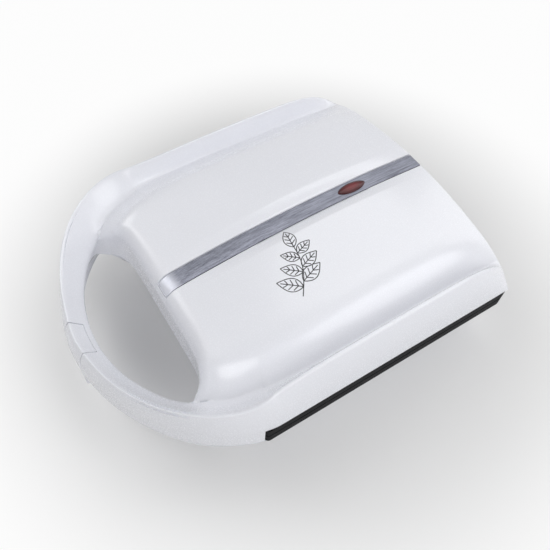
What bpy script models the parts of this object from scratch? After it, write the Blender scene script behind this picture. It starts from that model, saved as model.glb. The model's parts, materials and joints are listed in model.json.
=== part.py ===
"""Walnut cookie maker: a two-shell countertop cooker with hinged lid, latch and baking plates.

Metres, +Z up. The origin lies on the supporting surface, under the middle of the cooker.
X runs across the cooker, -Y points to the handle and +Y to the hinge.
"""
import math

import bmesh
import bpy
from mathutils import Matrix, Vector

# Driving dimensions of the body
BODY_WIDTH = 0.230
BODY_BACK_Y = 0.1379
BOW_CORNER_Y = -0.0566
BOW_DEPTH = 0.0912
BOW_FRONT_Y = BOW_CORNER_Y - BOW_DEPTH
PARTING_Z = 0.0380
FOOT_HEIGHT = 0.0070
TUB_DEPTH = PARTING_Z - FOOT_HEIGHT
WALL = 0.0025
GAP = 0.0003
RIM_GAP = 0.0004
CUT_OVERRUN = 0.004

# Crown of the lid, as heights above the parting plane
BAND_HEIGHT = 0.0518
BAND_DROP = 0.00499
RIDGE_BELOW_BAND = 0.00105
RIDGE_HEIGHT = BAND_HEIGHT - RIDGE_BELOW_BAND
RIDGE_DROP = 0.0029
RIDGE_INSET = 0.0109
PANEL_EDGE_BELOW_BAND = 0.0026
PANEL_EDGE_HEIGHT = BAND_HEIGHT - PANEL_EDGE_BELOW_BAND
PANEL_EDGE_DROP = 0.0034
PANEL_CREST_RISE = 0.0036
PANEL_SWELL = 0.0008
SCOOP_HOLLOW = 0.0030
BACK_ARCH_BELOW_BAND = 0.0013
BACK_ARCH_HEIGHT = BAND_HEIGHT - BACK_ARCH_BELOW_BAND
CROWN_CENTRE_Y = 0.0865
CROWN_REACH = 0.100
HANDLE_DIP = 0.0095
HANDLE_DIP_LENGTH = 0.0422
HANDLE_DIP_Y = BOW_FRONT_Y + HANDLE_DIP_LENGTH
HANDLE_DIP_REACH = 0.0365
ROOF = 0.0030

# Plateau of the lid and the finger hole before it
PLATEAU_FRONT_Y = -0.0696
HOLE_BACK_Y = -0.0816
HOLE_END_SWEEP = 0.0150
HOLE_HALF_WIDTH = 0.0745
HOLE_DRAFT = 0.0008
CHANNEL_WIDTH = 0.0179
PANEL_CREST_X = 0.0155

# Metal strip on the lid and the groove that it lies in
STRIP_WIDTH = 0.0130
STRIP_THICKNESS = 0.0012
GROOVE_DEPTH = STRIP_THICKNESS + GAP
GROOVE_HALF_WIDTH = STRIP_WIDTH / 2 + GAP

# Baking plates: the skirts of both show between the shells
SKIRT_HEIGHT = 0.0082
PLATE_FRONT_Y = -0.0667
PLATE_BORDER_X = 0.0150
PLATE_LEDGE = 0.0006
PLATE_SKIRT = 0.0030
PLATE_BORDER_Y = PLATE_SKIRT + PLATE_LEDGE
PLATE_BODY = 0.0052
PLATE_CORNER = 0.0030
SLOT_HEIGHT = 2 * SKIRT_HEIGHT + 3 * GAP
LID_LIP = 0.0010

# Walnut-shell hollows and the cores that press into them
CELLS_ACROSS = 4
CELLS_ALONG = 6
SHELL_LENGTH = 0.0400
SHELL_WIDTH = 0.0275
SHELL_DEPTH = 0.0130
SHELL_WALL = 0.0035
DOUGH_GAP = 0.0032
WRINKLE = 0.0007
SHELL_POINTS = 14
CORE_POINTS = 12
CASTING_POINTS = 8

# Hinge
HINGE_OFFSET = 0.0052
HINGE_HEIGHT = 0.0087
KNUCKLE_RADIUS = 0.0047
HINGE_PIN_RADIUS = 0.0016
KNUCKLE_INSET = 0.0450
KNUCKLE_X = BODY_WIDTH / 2 - KNUCKLE_INSET
KNUCKLE_WIDTH = 0.0112
EAR_WIDTH = 0.0060
HINGE_SIDE_GAP = 0.0004
ARM_HEIGHT = 0.0210
ARM_TOP_DEPTH = 0.0050
EAR_DROP = 0.0105

# Latch
LATCH_HALF_WIDTH = 0.0139
LATCH_PIVOT_SETBACK = 0.0104
LATCH_PIVOT_Y = BOW_FRONT_Y + LATCH_PIVOT_SETBACK
LATCH_PIVOT_BELOW_RIDGE = 0.03175
LATCH_PIVOT_HEIGHT = RIDGE_HEIGHT - LATCH_PIVOT_BELOW_RIDGE
LATCH_PIN_RADIUS = 0.0012
LATCH_BOSS_RADIUS = 0.0025
LATCH_THICKNESS = 0.0028
LATCH_REACH = 0.0120
HOOK_LENGTH = 0.0028
HOOK_THICKNESS = 0.0029
HOOK_PLAY = 0.0009
NOTCH_DEPTH = 0.0148
NOTCH_BACK_Y = BOW_FRONT_Y + NOTCH_DEPTH
RIB = 0.0025

# Shape of the bow: 2 would be an ellipse
BOW_ROUNDNESS = 1.75


def height(value):
    """World height of a place given above the parting plane."""
    return PARTING_Z + value


def half_width():
    return BODY_WIDTH / 2


# Scene and object helpers
def clear_scene():
    for item in list(bpy.data.objects):
        bpy.data.objects.remove(item, do_unlink=True)


def material(name, colour, roughness, metallic=0.0):
    """A Principled material of the given colour."""
    made = bpy.data.materials.new(name)
    made.use_nodes = True
    shader = made.node_tree.nodes["Principled BSDF"]
    shader.inputs["Base Color"].default_value = (*colour, 1.0)
    shader.inputs["Roughness"].default_value = roughness
    shader.inputs["Metallic"].default_value = metallic
    made.diffuse_color = (*colour, 1.0)
    return made


def add_object(name, bm, finish=None, smooth_degrees=None):
    """Turn a bmesh into a linked object, its faces pointing out."""
    bmesh.ops.recalc_face_normals(bm, faces=bm.faces)
    mesh = bpy.data.meshes.new(name)
    bm.to_mesh(mesh)
    bm.free()
    if smooth_degrees:
        mesh.shade_smooth()
        mesh.set_sharp_from_angle(angle=math.radians(smooth_degrees))
    made = bpy.data.objects.new(name, mesh)
    bpy.context.scene.collection.objects.link(made)
    if finish:
        mesh.materials.append(finish)
    return made


def hide_guide(guide):
    guide.hide_render = True
    guide.display_type = "WIRE"


def hang(piece, carrier):
    """Parent a piece to its carrier, and leave it where it is."""
    piece.parent = carrier
    piece.matrix_parent_inverse = Matrix.Translation(carrier.location).inverted()


def boolean(target, other, operation, solver="EXACT"):
    """Join or cut a target with a guide object, which stays out of the model."""
    hide_guide(other)
    step = target.modifiers.new(other.name, "BOOLEAN")
    step.operation = operation
    step.solver = solver
    step.object = other


def prism(profile, start, end, axis="X"):
    """Extrude a closed profile between two places along an axis.

    Profile points are (y, z) for the X axis, and (x, y) for the Z axis.
    """
    bm = bmesh.new()

    def place(point, along):
        if axis == "X":
            return (along, point[0], point[1])
        return (point[0], point[1], along)

    low = [bm.verts.new(place(point, start)) for point in profile]
    high = [bm.verts.new(place(point, end)) for point in profile]
    bm.faces.new(low)
    bm.faces.new(high[::-1])
    count = len(profile)
    for i in range(count):
        j = (i + 1) % count
        bm.faces.new((low[i], high[i], high[j], low[j]))
    return bm


def box(low, high):
    """A block between two corners."""
    profile = [(low[0], low[1]), (high[0], low[1]), (high[0], high[1]), (low[0], high[1])]
    return prism(profile, low[2], high[2], "Z")


def arc(centre, radius, start_degrees, end_degrees, steps):
    """Points along an arc about a centre, in the profile's plane."""
    points = []
    for i in range(steps + 1):
        angle = math.radians(start_degrees + (end_degrees - start_degrees) * i / steps)
        points.append((centre[0] + radius * math.cos(angle), centre[1] + radius * math.sin(angle)))
    return points


def rod(radius, start, end, sides=12):
    """A cylinder between two places."""
    bm = bmesh.new()
    start = Vector(start)
    end = Vector(end)
    span = end - start
    turn = span.to_track_quat("Z", "Y").to_matrix().to_4x4()
    place = Matrix.Translation((start + end) / 2) @ turn
    bmesh.ops.create_cone(bm, cap_ends=True, segments=sides, radius1=radius, radius2=radius,
                          depth=span.length, matrix=place)
    return bm


def join(*parts):
    """Gather several bmeshes in one."""
    whole = bmesh.new()
    for bm in parts:
        mesh = bpy.data.meshes.new("joined")
        bmesh.ops.recalc_face_normals(bm, faces=bm.faces)
        bm.to_mesh(mesh)
        bm.free()
        whole.from_mesh(mesh)
        bpy.data.meshes.remove(mesh)
    return whole


def along(table, place):
    """Read a table of (place, share) pairs at a place between them."""
    for (low, first), (high, second) in zip(table, table[1:]):
        if place <= high:
            return first + (second - first) * (place - low) / (high - low)
    return table[-1][1]


# Outline of both shells, as shares of its length from the back (0) over the corner (1) to the front (2)
station_shares = (0, 0.056, 0.128, 0.22, 0.35, 0.5, 0.66, 0.81, 0.915, 1, 1.09, 1.18, 1.27, 1.355,
                  1.433, 1.51, 1.59, 1.667, 1.745, 1.82, 1.9, 1.95, 2)
SHOULDER = 13
row_centre_shares = (0, 0.052, 0.12, 0.206, 0.328, 0.469, 0.618, 0.761, 0.838, 0.891, 0.925, 0.954,
                     0.978, 1)
arch_shares = ((0, 1), (0.056, 0.55), (0.128, 0.18), (0.22, 0.03), (0.35, 0), (2, 0))
inset_shares = ((0, 1), (0.81, 1), (0.915, 0.97), (1, 0.87), (1.09, 0.64), (1.18, 0.41), (1.27, 0.26),
                (1.355, 0.18), (1.433, 0.15), (1.51, 0.15), (1.59, 0.2), (1.667, 0.28), (1.745, 0.37),
                (1.82, 0.46), (1.9, 0.5), (2, 0.52))
channel_shares = ((0, 1.006), (0.66, 1.006), (0.81, 1.02), (0.915, 1.09), (1, 1.2), (1.09, 1.28),
                  (1.18, 1.2), (1.27, 1.09), (1.355, 1.03), (1.433, 0.98), (1.51, 0.91), (1.59, 0.9),
                  (1.667, 0.9), (1.745, 0.89), (1.82, 0.93), (1.9, 0.955), (2, 1))
valley_shares = ((0, 0.715), (0.81, 0.71), (1, 0.72), (1.09, 0.7), (1.18, 0.67), (1.27, 0.665),
                 (1.355, 0.66), (1.433, 0.47), (1.51, 0.46), (1.59, 0.48), (1.667, 0.51), (1.745, 0.535),
                 (1.82, 0.56), (1.9, 0.575), (2, 0.585))
crest_shares = ((0, 0), (0.056, 0.15), (0.128, 0.35), (0.22, 0.6), (0.35, 0.85), (0.5, 1), (0.66, 0.85),
                (0.81, 0.57), (0.915, 0.45), (1, 0.35), (1.09, 0.28), (1.18, 0.22), (1.27, 0.17),
                (1.355, 0.12))
wall_inset_shares = (0, 0, 0.22, 0.55, 1)
wall_height_shares = (0, 0.4, 0.64, 0.86, 1)
column_shares = (0.46, 0.8, 0.897)
front_run_shares = (0, 0.375, 0.75, 0.917, 1)
front_fall_shares = (1, 0.972, 0.871, 0.707, 0)
front_wall_shares = (0, 0.55, 0.9, 1, 1)
front_roof_shares = (1, 0.85, 0.5, 0.2, 0)
end_wall_share = 0.6
rear_fall_shares = (0.69, -0.28, 0.59)
handle_floor_share = 0.2
groove_column_share = 0.23


def outline(place):
    """Outline point and inward direction at a place along one side."""
    if place <= 1:
        y = BODY_BACK_Y + (BOW_CORNER_Y - BODY_BACK_Y) * place
        return Vector((half_width(), y)), Vector((-1, 0))
    angle = math.pi / 2 * (place - 1)
    across = max(math.cos(angle), 0) ** (2 / BOW_ROUNDNESS)
    forward = math.sin(angle) ** (2 / BOW_ROUNDNESS)
    point = Vector((half_width() * across, BOW_CORNER_Y - BOW_DEPTH * forward))
    slope = BOW_ROUNDNESS - 1
    inward = Vector((-across ** slope / half_width(), forward ** slope / BOW_DEPTH))
    return point, inward.normalized()


def crown(y, top, drop):
    return top - drop * ((y - CROWN_CENTRE_Y) / CROWN_REACH) ** 2


def ridge_height(y):
    dip = max(0, HANDLE_DIP_Y - y) / HANDLE_DIP_REACH
    return crown(y, RIDGE_HEIGHT, RIDGE_DROP) - HANDLE_DIP * dip ** 2


def back_arch(x):
    """Height of the lid's rear edge."""
    share = min(1, (x / half_width()) ** 2)
    low = SLOT_HEIGHT + LID_LIP
    first, second, fourth = rear_fall_shares
    fall = first * share + second * share ** 2 + fourth * share ** 4
    return BACK_ARCH_HEIGHT - (BACK_ARCH_HEIGHT - low) * fall


def lid_rails(place):
    """Outer and inner points of the lid's rim section, as (inset from the outline, height)."""
    point, inward = outline(place)
    inset = RIDGE_INSET * along(inset_shares, place)
    width = CHANNEL_WIDTH * along(channel_shares, place)
    crest_y = point.y + inward.y * inset
    top = ridge_height(crest_y)
    low = top * along(valley_shares, place)
    arched = along(arch_shares, place)
    outer = [(inset * i, top * h) for i, h in zip(wall_inset_shares, wall_height_shares)]
    outer.append((width, low))
    level = [h for d, h in outer]
    for i in range(1, len(outer)):
        target = back_arch(half_width() - outer[i][0])
        level[i] = outer[i][1] * (1 - arched) + target * arched
    outer = [(point[0], h) for point, h in zip(outer, level)]
    slope = (outer[4][1] - outer[5][1]) / (width - inset)
    thick = WALL * math.sqrt(1 + slope ** 2)
    core_top = outer[4][1] - slope * WALL - thick
    scale = core_top / outer[4][1]
    inner = [(d + WALL, h * scale) for d, h in outer[:5]]
    if place < station_shares[SHOULDER]:
        inner.append((width + WALL / 2, outer[5][1] - ROOF))
    else:
        inner.append((width - WALL, outer[5][1] - WALL / 2))
    return outer, inner


def lid_row(place, centre_share, end):
    """Outer and inner points across half of the plateau, from its middle to the valley at the side."""
    centre_y = BODY_BACK_Y + (PLATEAU_FRONT_Y - BODY_BACK_Y) * centre_share
    arched = along(arch_shares, place)
    crest = PANEL_CREST_RISE * along(crest_shares, place)
    x_end, y_end, low = end

    def band(y):
        return crown(y, BAND_HEIGHT, BAND_DROP)

    def row_y(x):
        return centre_y + (y_end - centre_y) * (x / x_end) ** 4

    points = []
    middle = band(centre_y)
    points.append((0, centre_y, middle - GROOVE_DEPTH))
    points.append((GROOVE_HALF_WIDTH, centre_y, middle - GROOVE_DEPTH))
    points.append((GROOVE_HALF_WIDTH + RIM_GAP, centre_y, middle))
    points.append((PANEL_CREST_X, row_y(PANEL_CREST_X), middle + crest))
    edge_x = x_end * column_shares[1]
    edge = crown(row_y(edge_x), PANEL_EDGE_HEIGHT, PANEL_EDGE_DROP)
    mid_x = x_end * column_shares[0]
    points.append((mid_x, row_y(mid_x), (middle + crest + edge) / 2 + PANEL_SWELL))
    points.append((edge_x, row_y(edge_x), edge))
    scoop_x = x_end * column_shares[2]
    points.append((scoop_x, row_y(scoop_x), (edge + low) / 2 - SCOOP_HOLLOW))
    outer = []
    for i, (x, y, h) in enumerate(points):
        groove = GROOVE_DEPTH if i < 2 else 0
        outer.append(Vector((x, y, h * (1 - arched) + (back_arch(x) - groove) * arched)))
    inner = [point - Vector((0, 0, ROOF)) for point in outer]
    return outer, inner


class Skin:
    """A shell whose outer and inner faces share one layout of points."""

    def __init__(self):
        self.bm = bmesh.new()
        self.pairs = {}

    def add(self, key, outer, inner):
        if key not in self.pairs:
            self.pairs[key] = (self.bm.verts.new(outer), self.bm.verts.new(inner))
        return key

    def face(self, *keys):
        keys = list(dict.fromkeys(keys))
        self.bm.faces.new([self.pairs[key][0] for key in keys])
        self.bm.faces.new([self.pairs[key][1] for key in reversed(keys)])

    def grid(self, rows):
        for first, second in zip(rows, rows[1:]):
            for i in range(len(first) - 1):
                self.face(first[i], first[i + 1], second[i + 1], second[i])

    def rim(self, keys, closed):
        ends = keys[1:] + keys[:1] if closed else keys[1:]
        for first, second in zip(keys, ends):
            a, b = self.pairs[first]
            c, d = self.pairs[second]
            self.bm.faces.new((a, b, d, c))


def plan_normals(points):
    """Directions square to a closed plan loop, pointing away from its middle."""
    centre = sum(points, Vector((0, 0))) / len(points)
    normals = []
    for i, point in enumerate(points):
        before = points[i - 1]
        after = points[(i + 1) % len(points)]
        run = after - before
        normal = Vector((run.y, -run.x)).normalized()
        if normal.dot(point - centre) < 0:
            normal.negate()
        normals.append(normal)
    return normals


def build_skin(rails, row, face_height, rim_level, flat_roof=None):
    """Shell skin from a rim section and a row across the body, mirrored about the middle.

    rails gives (inset, height) pairs of the rim; row gives half a row of the body's top.
    """
    skin = Skin()
    last = len(station_shares) - 1
    sides = [(1, i) for i in range(last + 1)] + [(-1, i) for i in range(last - 1, -1, -1)]
    ends = {}
    back = Vector((0, -WALL, 0))
    for side, i in sides:
        point, inward = outline(station_shares[i])
        outer, inner = rails(station_shares[i])
        for j, ((d, h), (e, k)) in enumerate(zip(outer, inner)):
            at = point + inward * d
            core = point + inward * e
            lift = back if i == 0 else Vector((0, 0, 0))
            base = rim_level if j == 0 else h
            deep = rim_level if j == 0 else k
            skin.add(("rail", side, i, j), (side * at.x, at.y, height(base)),
                     Vector((side * core.x, core.y, height(deep))) + lift)
            if side == 1:
                ends[i] = (at.x, at.y, h)
    count = len(outer)
    for (s, i), (t, k) in zip(sides, sides[1:]):
        for j in range(count - 1):
            skin.face(("rail", s, i, j), ("rail", t, k, j), ("rail", t, k, j + 1), ("rail", s, i, j + 1))

    rows = []
    for i in range(SHOULDER + 1):
        outer, inner = row(station_shares[i], row_centre_shares[i], ends[i])
        keys = []
        for c in range(len(outer) - 1, 0, -1):
            keys.append(("row", i, -c))
        keys += [("row", i, c) for c in range(len(outer))]
        for side in (-1, 1):
            for c, (at, core) in enumerate(zip(outer, inner)):
                lift = back if i == 0 else Vector((0, 0, 0))
                skin.add(("row", i, side * c), (side * at.x, at.y, height(at.z)),
                         Vector((side * core.x, core.y, height(core.z))) + lift)
        rows.append([("rail", -1, i, count - 1)] + keys + [("rail", 1, i, count - 1)])
    if flat_roof is None:
        skin.grid(rows)
    else:
        loop = rows[0] + [r[-1] for r in rows[1:-1]] + rows[-1][::-1] + [r[0] for r in rows[-2:0:-1]]
        skin.face(*loop)

    front = rows[-1]
    hole_keys = list(front)
    hole_tops = [skin.pairs[key][0].co.copy() for key in front]
    for side, i in sides:
        if i > SHOULDER:
            hole_keys.append(("rail", side, i, count - 1))
            hole_tops.append(skin.pairs[hole_keys[-1]][0].co.copy())
    x_end = abs(hole_tops[0].x)
    feet = []
    for n, (key, top) in enumerate(zip(hole_keys, hole_tops)):
        if n < len(front):
            share = abs(top.x) / x_end
            x = math.copysign(abs(top.x) + (HOLE_HALF_WIDTH - x_end) * share ** 3, top.x)
            feet.append(Vector((x, HOLE_BACK_Y - HOLE_END_SWEEP * share ** 7)))
        else:
            point, inward = outline(station_shares[key[2]])
            reach = CHANNEL_WIDTH * along(channel_shares, station_shares[key[2]]) + HOLE_DRAFT
            at = point + inward * reach
            feet.append(Vector((key[1] * at.x, at.y)))
    normals = plan_normals(feet)
    columns = []
    for n, (key, top) in enumerate(zip(hole_keys, hole_tops)):
        column = [key]
        rise = top.z - height(0)
        for r in range(1, len(front_run_shares)):
            run = front_run_shares[r]
            fall = face_height(r) * rise
            if r == len(front_run_shares) - 1:
                fall = rim_level
            across = top.x + (feet[n].x - top.x) * run
            lengthwise = top.y + (feet[n].y - top.y) * run
            at = Vector((across, lengthwise, height(fall)))
            groove = groove_lift(key, r, rows[-1]) if flat_roof is None else 0
            at.z += groove
            wall = front_wall_shares[r] if n < len(front) else 1
            if n in (0, len(front) - 1):
                wall = max(wall, end_wall_share)
            elif n in (1, len(front) - 2):
                wall *= end_wall_share
            roof = ROOF * front_roof_shares[r] if n < len(front) else WALL * front_roof_shares[r] / 2
            sign = -1 if rise > 0 else 1
            core = at + Vector((normals[n].x * WALL * wall, normals[n].y * WALL * wall, sign * roof))
            column.append(skin.add(("hole", n, r), at, core))
        columns.append(column)
    for n in range(len(columns)):
        first = columns[n]
        second = columns[(n + 1) % len(columns)]
        middle = (skin.pairs[first[1]][0].co + skin.pairs[second[1]][0].co) / 2
        for r in range(len(first) - 1):
            if middle.x < 0:
                skin.face(first[r], second[r], second[r + 1])
                skin.face(first[r], second[r + 1], first[r + 1])
            else:
                skin.face(first[r], second[r], first[r + 1])
                skin.face(second[r], second[r + 1], first[r + 1])
    skin.rim([column[-1] for column in columns], True)
    skin.rim([("rail", s, i, 0) for s, i in sides], False)
    wall_loop = [("rail", 1, 0, j) for j in range(count - 1, -1, -1)]
    wall_loop += [("rail", -1, 0, j) for j in range(count)]
    wall_loop += rows[0][1:-1]
    skin.face(*wall_loop)
    skin.rim([("rail", 1, 0, 0), ("rail", -1, 0, 0)], False)
    bmesh.ops.recalc_face_normals(skin.bm, faces=skin.bm.faces)
    return skin.bm


def groove_lift(key, r, front):
    """The groove runs out below the end of the metal strip."""
    if key in (front[len(front) // 2], front[len(front) // 2 - 1], front[len(front) // 2 + 1]):
        return GROOVE_DEPTH if r == 3 else 0
    return 0


def lid_skin():
    return build_skin(lid_rails, lid_row, lambda r: front_fall_shares[r], RIM_GAP)


# Base tub and the lower half of the handle
TUB_TAPER = 0.0240
HANDLE_DEPTH = 0.0200
HANDLE_TUCK = 0.0065
TUB_FRONT_Y = -0.0676
BASE_FLOOR = 0.0025

tub_wall_shares = ((0, 0), (0.14, 0.2), (0.46, 0.62), (0.8, 0.93), (1, 1))
bow_wall_shares = ((0, 0), (0.05, 0.3), (0.4, 0.7), (1, 0.975), (1.6, 1.05))
handle_shares = ((0, 0), (1, 0), (1.18, 0.08), (1.27, 0.25), (1.355, 0.45), (1.433, 0.85), (1.51, 1),
                 (2, 1))
tub_width_shares = ((0, 1), (1, 1), (1.09, 1.08), (1.18, 1.17), (1.27, 1.29), (1.355, 1.42), (1.433, 1.2),
                    (2, 1))
tub_fall_shares = (1, 0.85, 0.71, 0.4, 0)


def base_rails(place):
    """Outer and inner points of the base's rim section, as (inset from the outline, height)."""
    bow = along(handle_shares, place)
    taper = TUB_TAPER * along(tub_width_shares, place)
    outer = []
    for (d, h), (e, k) in zip(tub_wall_shares, bow_wall_shares):
        inset = taper * d * (1 - bow) + HANDLE_TUCK * e * bow
        depth = TUB_DEPTH * h * (1 - bow) + HANDLE_DEPTH * k * bow
        outer.append((inset, -depth))
    width = CHANNEL_WIDTH * along(channel_shares, place) - HOLE_DRAFT
    if place > station_shares[SHOULDER]:
        outer.append((width, -HANDLE_DEPTH * (1 + handle_floor_share * (1 - bow))))
    else:
        outer[-1] = (taper, -TUB_DEPTH)
        outer[-2] = (outer[-2][0], max(outer[-2][1], -TUB_DEPTH * tub_wall_shares[3][1]))
        outer.append((taper + WALL, -TUB_DEPTH))
    inner = [(d + WALL, h * (1 - BASE_FLOOR / TUB_DEPTH)) for d, h in outer[:5]]
    if place > station_shares[SHOULDER]:
        inner[4] = (outer[4][0] + WALL / 2, outer[4][1] + BASE_FLOOR)
        inner.append((width - WALL, outer[5][1] + BASE_FLOOR))
    else:
        inner[4] = (outer[4][0] + WALL / 2, outer[4][1] + BASE_FLOOR)
        inner.append((outer[5][0], outer[5][1] + BASE_FLOOR))
        if place == station_shares[SHOULDER]:
            inner[5] = (outer[5][0] - 3 * WALL, outer[5][1] + 2 * BASE_FLOOR)
            inner[4] = (outer[4][0] - 2 * WALL, outer[4][1] + 2 * BASE_FLOOR)
    return outer, inner


def base_row(_place, centre_share, end):
    """Outer and inner points across half of the tub's floor."""
    centre_y = BODY_BACK_Y + (TUB_FRONT_Y - BODY_BACK_Y) * centre_share
    x_end, y_end = end[:2]
    outer = []
    for share in (0, groove_column_share) + column_shares:
        x = x_end * share
        y = centre_y + (y_end - centre_y) * share ** 4
        outer.append(Vector((x, y, -TUB_DEPTH)))
    inner = [point + Vector((0, 0, BASE_FLOOR)) for point in outer]
    return outer, inner


def base_skin():
    return build_skin(base_rails, base_row, lambda r: tub_fall_shares[r], 0, flat_roof=True)


# Slot for the plates, hinge and latch cuts
def slot_cutter():
    """Room for the plate rims under the lid's roof."""
    reach = half_width() + CUT_OVERRUN
    return box((-reach, PLATE_FRONT_Y - GAP, height(-CUT_OVERRUN)),
               (reach, BODY_BACK_Y + CUT_OVERRUN, height(SLOT_HEIGHT)))


def hinge_axis():
    return BODY_BACK_Y + HINGE_OFFSET, height(HINGE_HEIGHT)


def lid_knuckle(side):
    """Arm from the lid's rear wall down to its hinge knuckle."""
    y, z = hinge_axis()
    profile = arc((y, z), KNUCKLE_RADIUS, 0, -180, 8)
    front = y - KNUCKLE_RADIUS
    inside = BODY_BACK_Y - WALL / 2
    low = height(SLOT_HEIGHT + LID_LIP)
    top = z + ARM_HEIGHT
    profile += [(front, low), (inside, low), (inside, top), (BODY_BACK_Y + ARM_TOP_DEPTH, top),
                (y + KNUCKLE_RADIUS, low)]
    centre = side * KNUCKLE_X
    return prism(profile, centre - KNUCKLE_WIDTH / 2, centre + KNUCKLE_WIDTH / 2)


def base_ear(side, outward):
    """Ear from the tub's rear wall up to the hinge axis."""
    y, z = hinge_axis()
    profile = arc((y, z), KNUCKLE_RADIUS, 0, 180, 8)
    front = y - KNUCKLE_RADIUS
    inside = BODY_BACK_Y - WALL
    low = z - HINGE_HEIGHT - EAR_DROP
    lip = height(-LID_LIP)
    profile += [(front, lip), (inside, lip), (inside - WALL / 2, low), (BODY_BACK_Y, low),
                (y + KNUCKLE_RADIUS, height(0))]
    near = side * KNUCKLE_X + outward * (KNUCKLE_WIDTH / 2 + HINGE_SIDE_GAP)
    far = near + outward * EAR_WIDTH
    return prism(profile, min(near, far), max(near, far))


def hinge_bore(side, radius):
    y, z = hinge_axis()
    reach = KNUCKLE_WIDTH / 2 + HINGE_SIDE_GAP + EAR_WIDTH + CUT_OVERRUN
    centre = side * KNUCKLE_X
    return rod(radius, (centre - reach, y, z), (centre + reach, y, z))


def mid_section(rails):
    """Closed profile that runs along the middle of the shell's wall, near the front of the bow."""
    place = station_shares[-4]
    point, inward = outline(place)
    outer, inner = rails(place)
    profile = []
    for (d, h), (e, k) in zip(outer, inner):
        profile.append((point.y + inward.y * (d + e) / 2, height((h + k) / 2)))
    return profile


def lid_rib(side):
    """Rib beside the latch, which closes the handle's channel and carries the pin."""
    profile = mid_section(lid_rails)
    profile[0] = (profile[0][0], height(RIM_GAP))
    profile.append((profile[-1][0], height(RIM_GAP)))
    near = LATCH_HALF_WIDTH
    far = LATCH_HALF_WIDTH + RIM_GAP + RIB
    return prism(profile, min(side * near, side * far), max(side * near, side * far))


def latch_notch():
    near = LATCH_HALF_WIDTH + RIM_GAP
    return box((-near, BOW_FRONT_Y - 2 * CUT_OVERRUN, height(-CUT_OVERRUN)),
               (near, NOTCH_BACK_Y, height(RIDGE_HEIGHT)))


def latch_bore(radius):
    reach = LATCH_HALF_WIDTH + RIM_GAP + RIB / 2
    place = (LATCH_PIVOT_Y, height(LATCH_PIVOT_HEIGHT))
    return rod(radius, (-reach, *place), (reach, *place))


cap_shares = ((1.4, 0.8), (0, 2), (-1.7, 2.6), (-3, 1.7), (-3.9, -0.4))
brow_share = 3.6
limb_shares = (0.4, 1.5, 0.9)
hook_nose_share = 0.33


def latch_profile():
    """Latch in its closed place: cap over the ridge, limb down the front, hook under the catch."""
    y, z = LATCH_PIVOT_Y, height(LATCH_PIVOT_HEIGHT)
    front = BOW_FRONT_Y
    bottom = height(-LATCH_REACH)
    inner = front + LATCH_THICKNESS
    boss = LATCH_BOSS_RADIUS
    cap = [(y + across * boss, z + up * boss) for across, up in cap_shares]
    cap.append((front, z - brow_share * boss))
    hook = [(front, bottom + HOOK_THICKNESS / 2), (front + HOOK_THICKNESS * hook_nose_share, bottom),
            (inner + HOOK_LENGTH, bottom), (inner + HOOK_LENGTH, bottom + HOOK_THICKNESS),
            (inner, bottom + HOOK_THICKNESS)]
    throat, shoulder_across, shoulder_up = limb_shares
    limb = [(inner, z - 2 * boss), (inner + throat * boss, z),
            (y - shoulder_across * boss, z + shoulder_up * boss)]
    seat = arc((y, z), boss, 180, 360, 6)
    return cap + hook + limb + seat


def latch_clip(finish):
    bm = prism(latch_profile(), -LATCH_HALF_WIDTH, LATCH_HALF_WIDTH)
    for vert in bm.verts:
        vert.co -= Vector((0, LATCH_PIVOT_Y, height(LATCH_PIVOT_HEIGHT)))
    clip = add_object("latch_clip", bm, finish, 35)
    clip.location = (0, LATCH_PIVOT_Y, height(LATCH_PIVOT_HEIGHT))
    bore = add_object("latch_clip_bore", latch_bore(LATCH_PIN_RADIUS + GAP))
    hang(bore, clip)
    boolean(clip, bore, "DIFFERENCE")
    return clip


def catch_block():
    """Solid block in the base's handle that carries the catch for the latch."""
    place = station_shares[-4]
    point = outline(place)[0]
    back = BOW_FRONT_Y + 2 * LATCH_THICKNESS + HOOK_LENGTH + WALL
    reach = LATCH_HALF_WIDTH + RIM_GAP + RIB
    return box((-reach, point.y + WALL / 2, height(-LATCH_REACH - WALL)), (reach, back, height(-GAP)))


def catch_cutters():
    """Pocket for the limb, and the deeper pocket for the hook under the catch."""
    near = LATCH_HALF_WIDTH + RIM_GAP
    face = BOW_FRONT_Y + LATCH_THICKNESS + 2 * GAP
    floor = -LATCH_REACH - 2 * GAP
    catch = -LATCH_REACH + HOOK_THICKNESS + HOOK_PLAY
    limb = box((-near, BOW_FRONT_Y - CUT_OVERRUN, height(floor)), (near, face, height(CUT_OVERRUN)))
    hook = box((-near, BOW_FRONT_Y - CUT_OVERRUN, height(floor - GAP)),
               (near, face + HOOK_LENGTH + GAP, height(catch)))
    return limb, hook


# Shells
def lid_shell(finish):
    shell = add_object("lid_shell", lid_skin(), finish, 40)
    boolean(shell, add_object("plate_slot_cut", slot_cutter()), "DIFFERENCE")
    boolean(shell, add_object("lamp_opening_cut", lamp_opening(LENS_STEM_SHARE, GAP)), "DIFFERENCE")
    parts = [lid_knuckle(side) for side in (-1, 1)] + [lid_rib(side) for side in (-1, 1)]
    parts += [lid_boss(x, y) for x, y in plate_screw_places()]
    parts += [lid_post(x, y) for x, y in reflector_posts()]
    boolean(shell, add_object("lid_features", join(*parts)), "UNION", "MANIFOLD")
    boolean(shell, add_object("latch_notch_cut", latch_notch()), "DIFFERENCE")
    bores = [hinge_bore(side, HINGE_PIN_RADIUS + GAP) for side in (-1, 1)]
    bores.append(latch_bore(LATCH_PIN_RADIUS + GAP))
    bores += [upper_screw_bore(x, y) for x, y in plate_screw_places()]
    boolean(shell, add_object("lid_bores", join(*bores)), "DIFFERENCE")
    return shell


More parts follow.
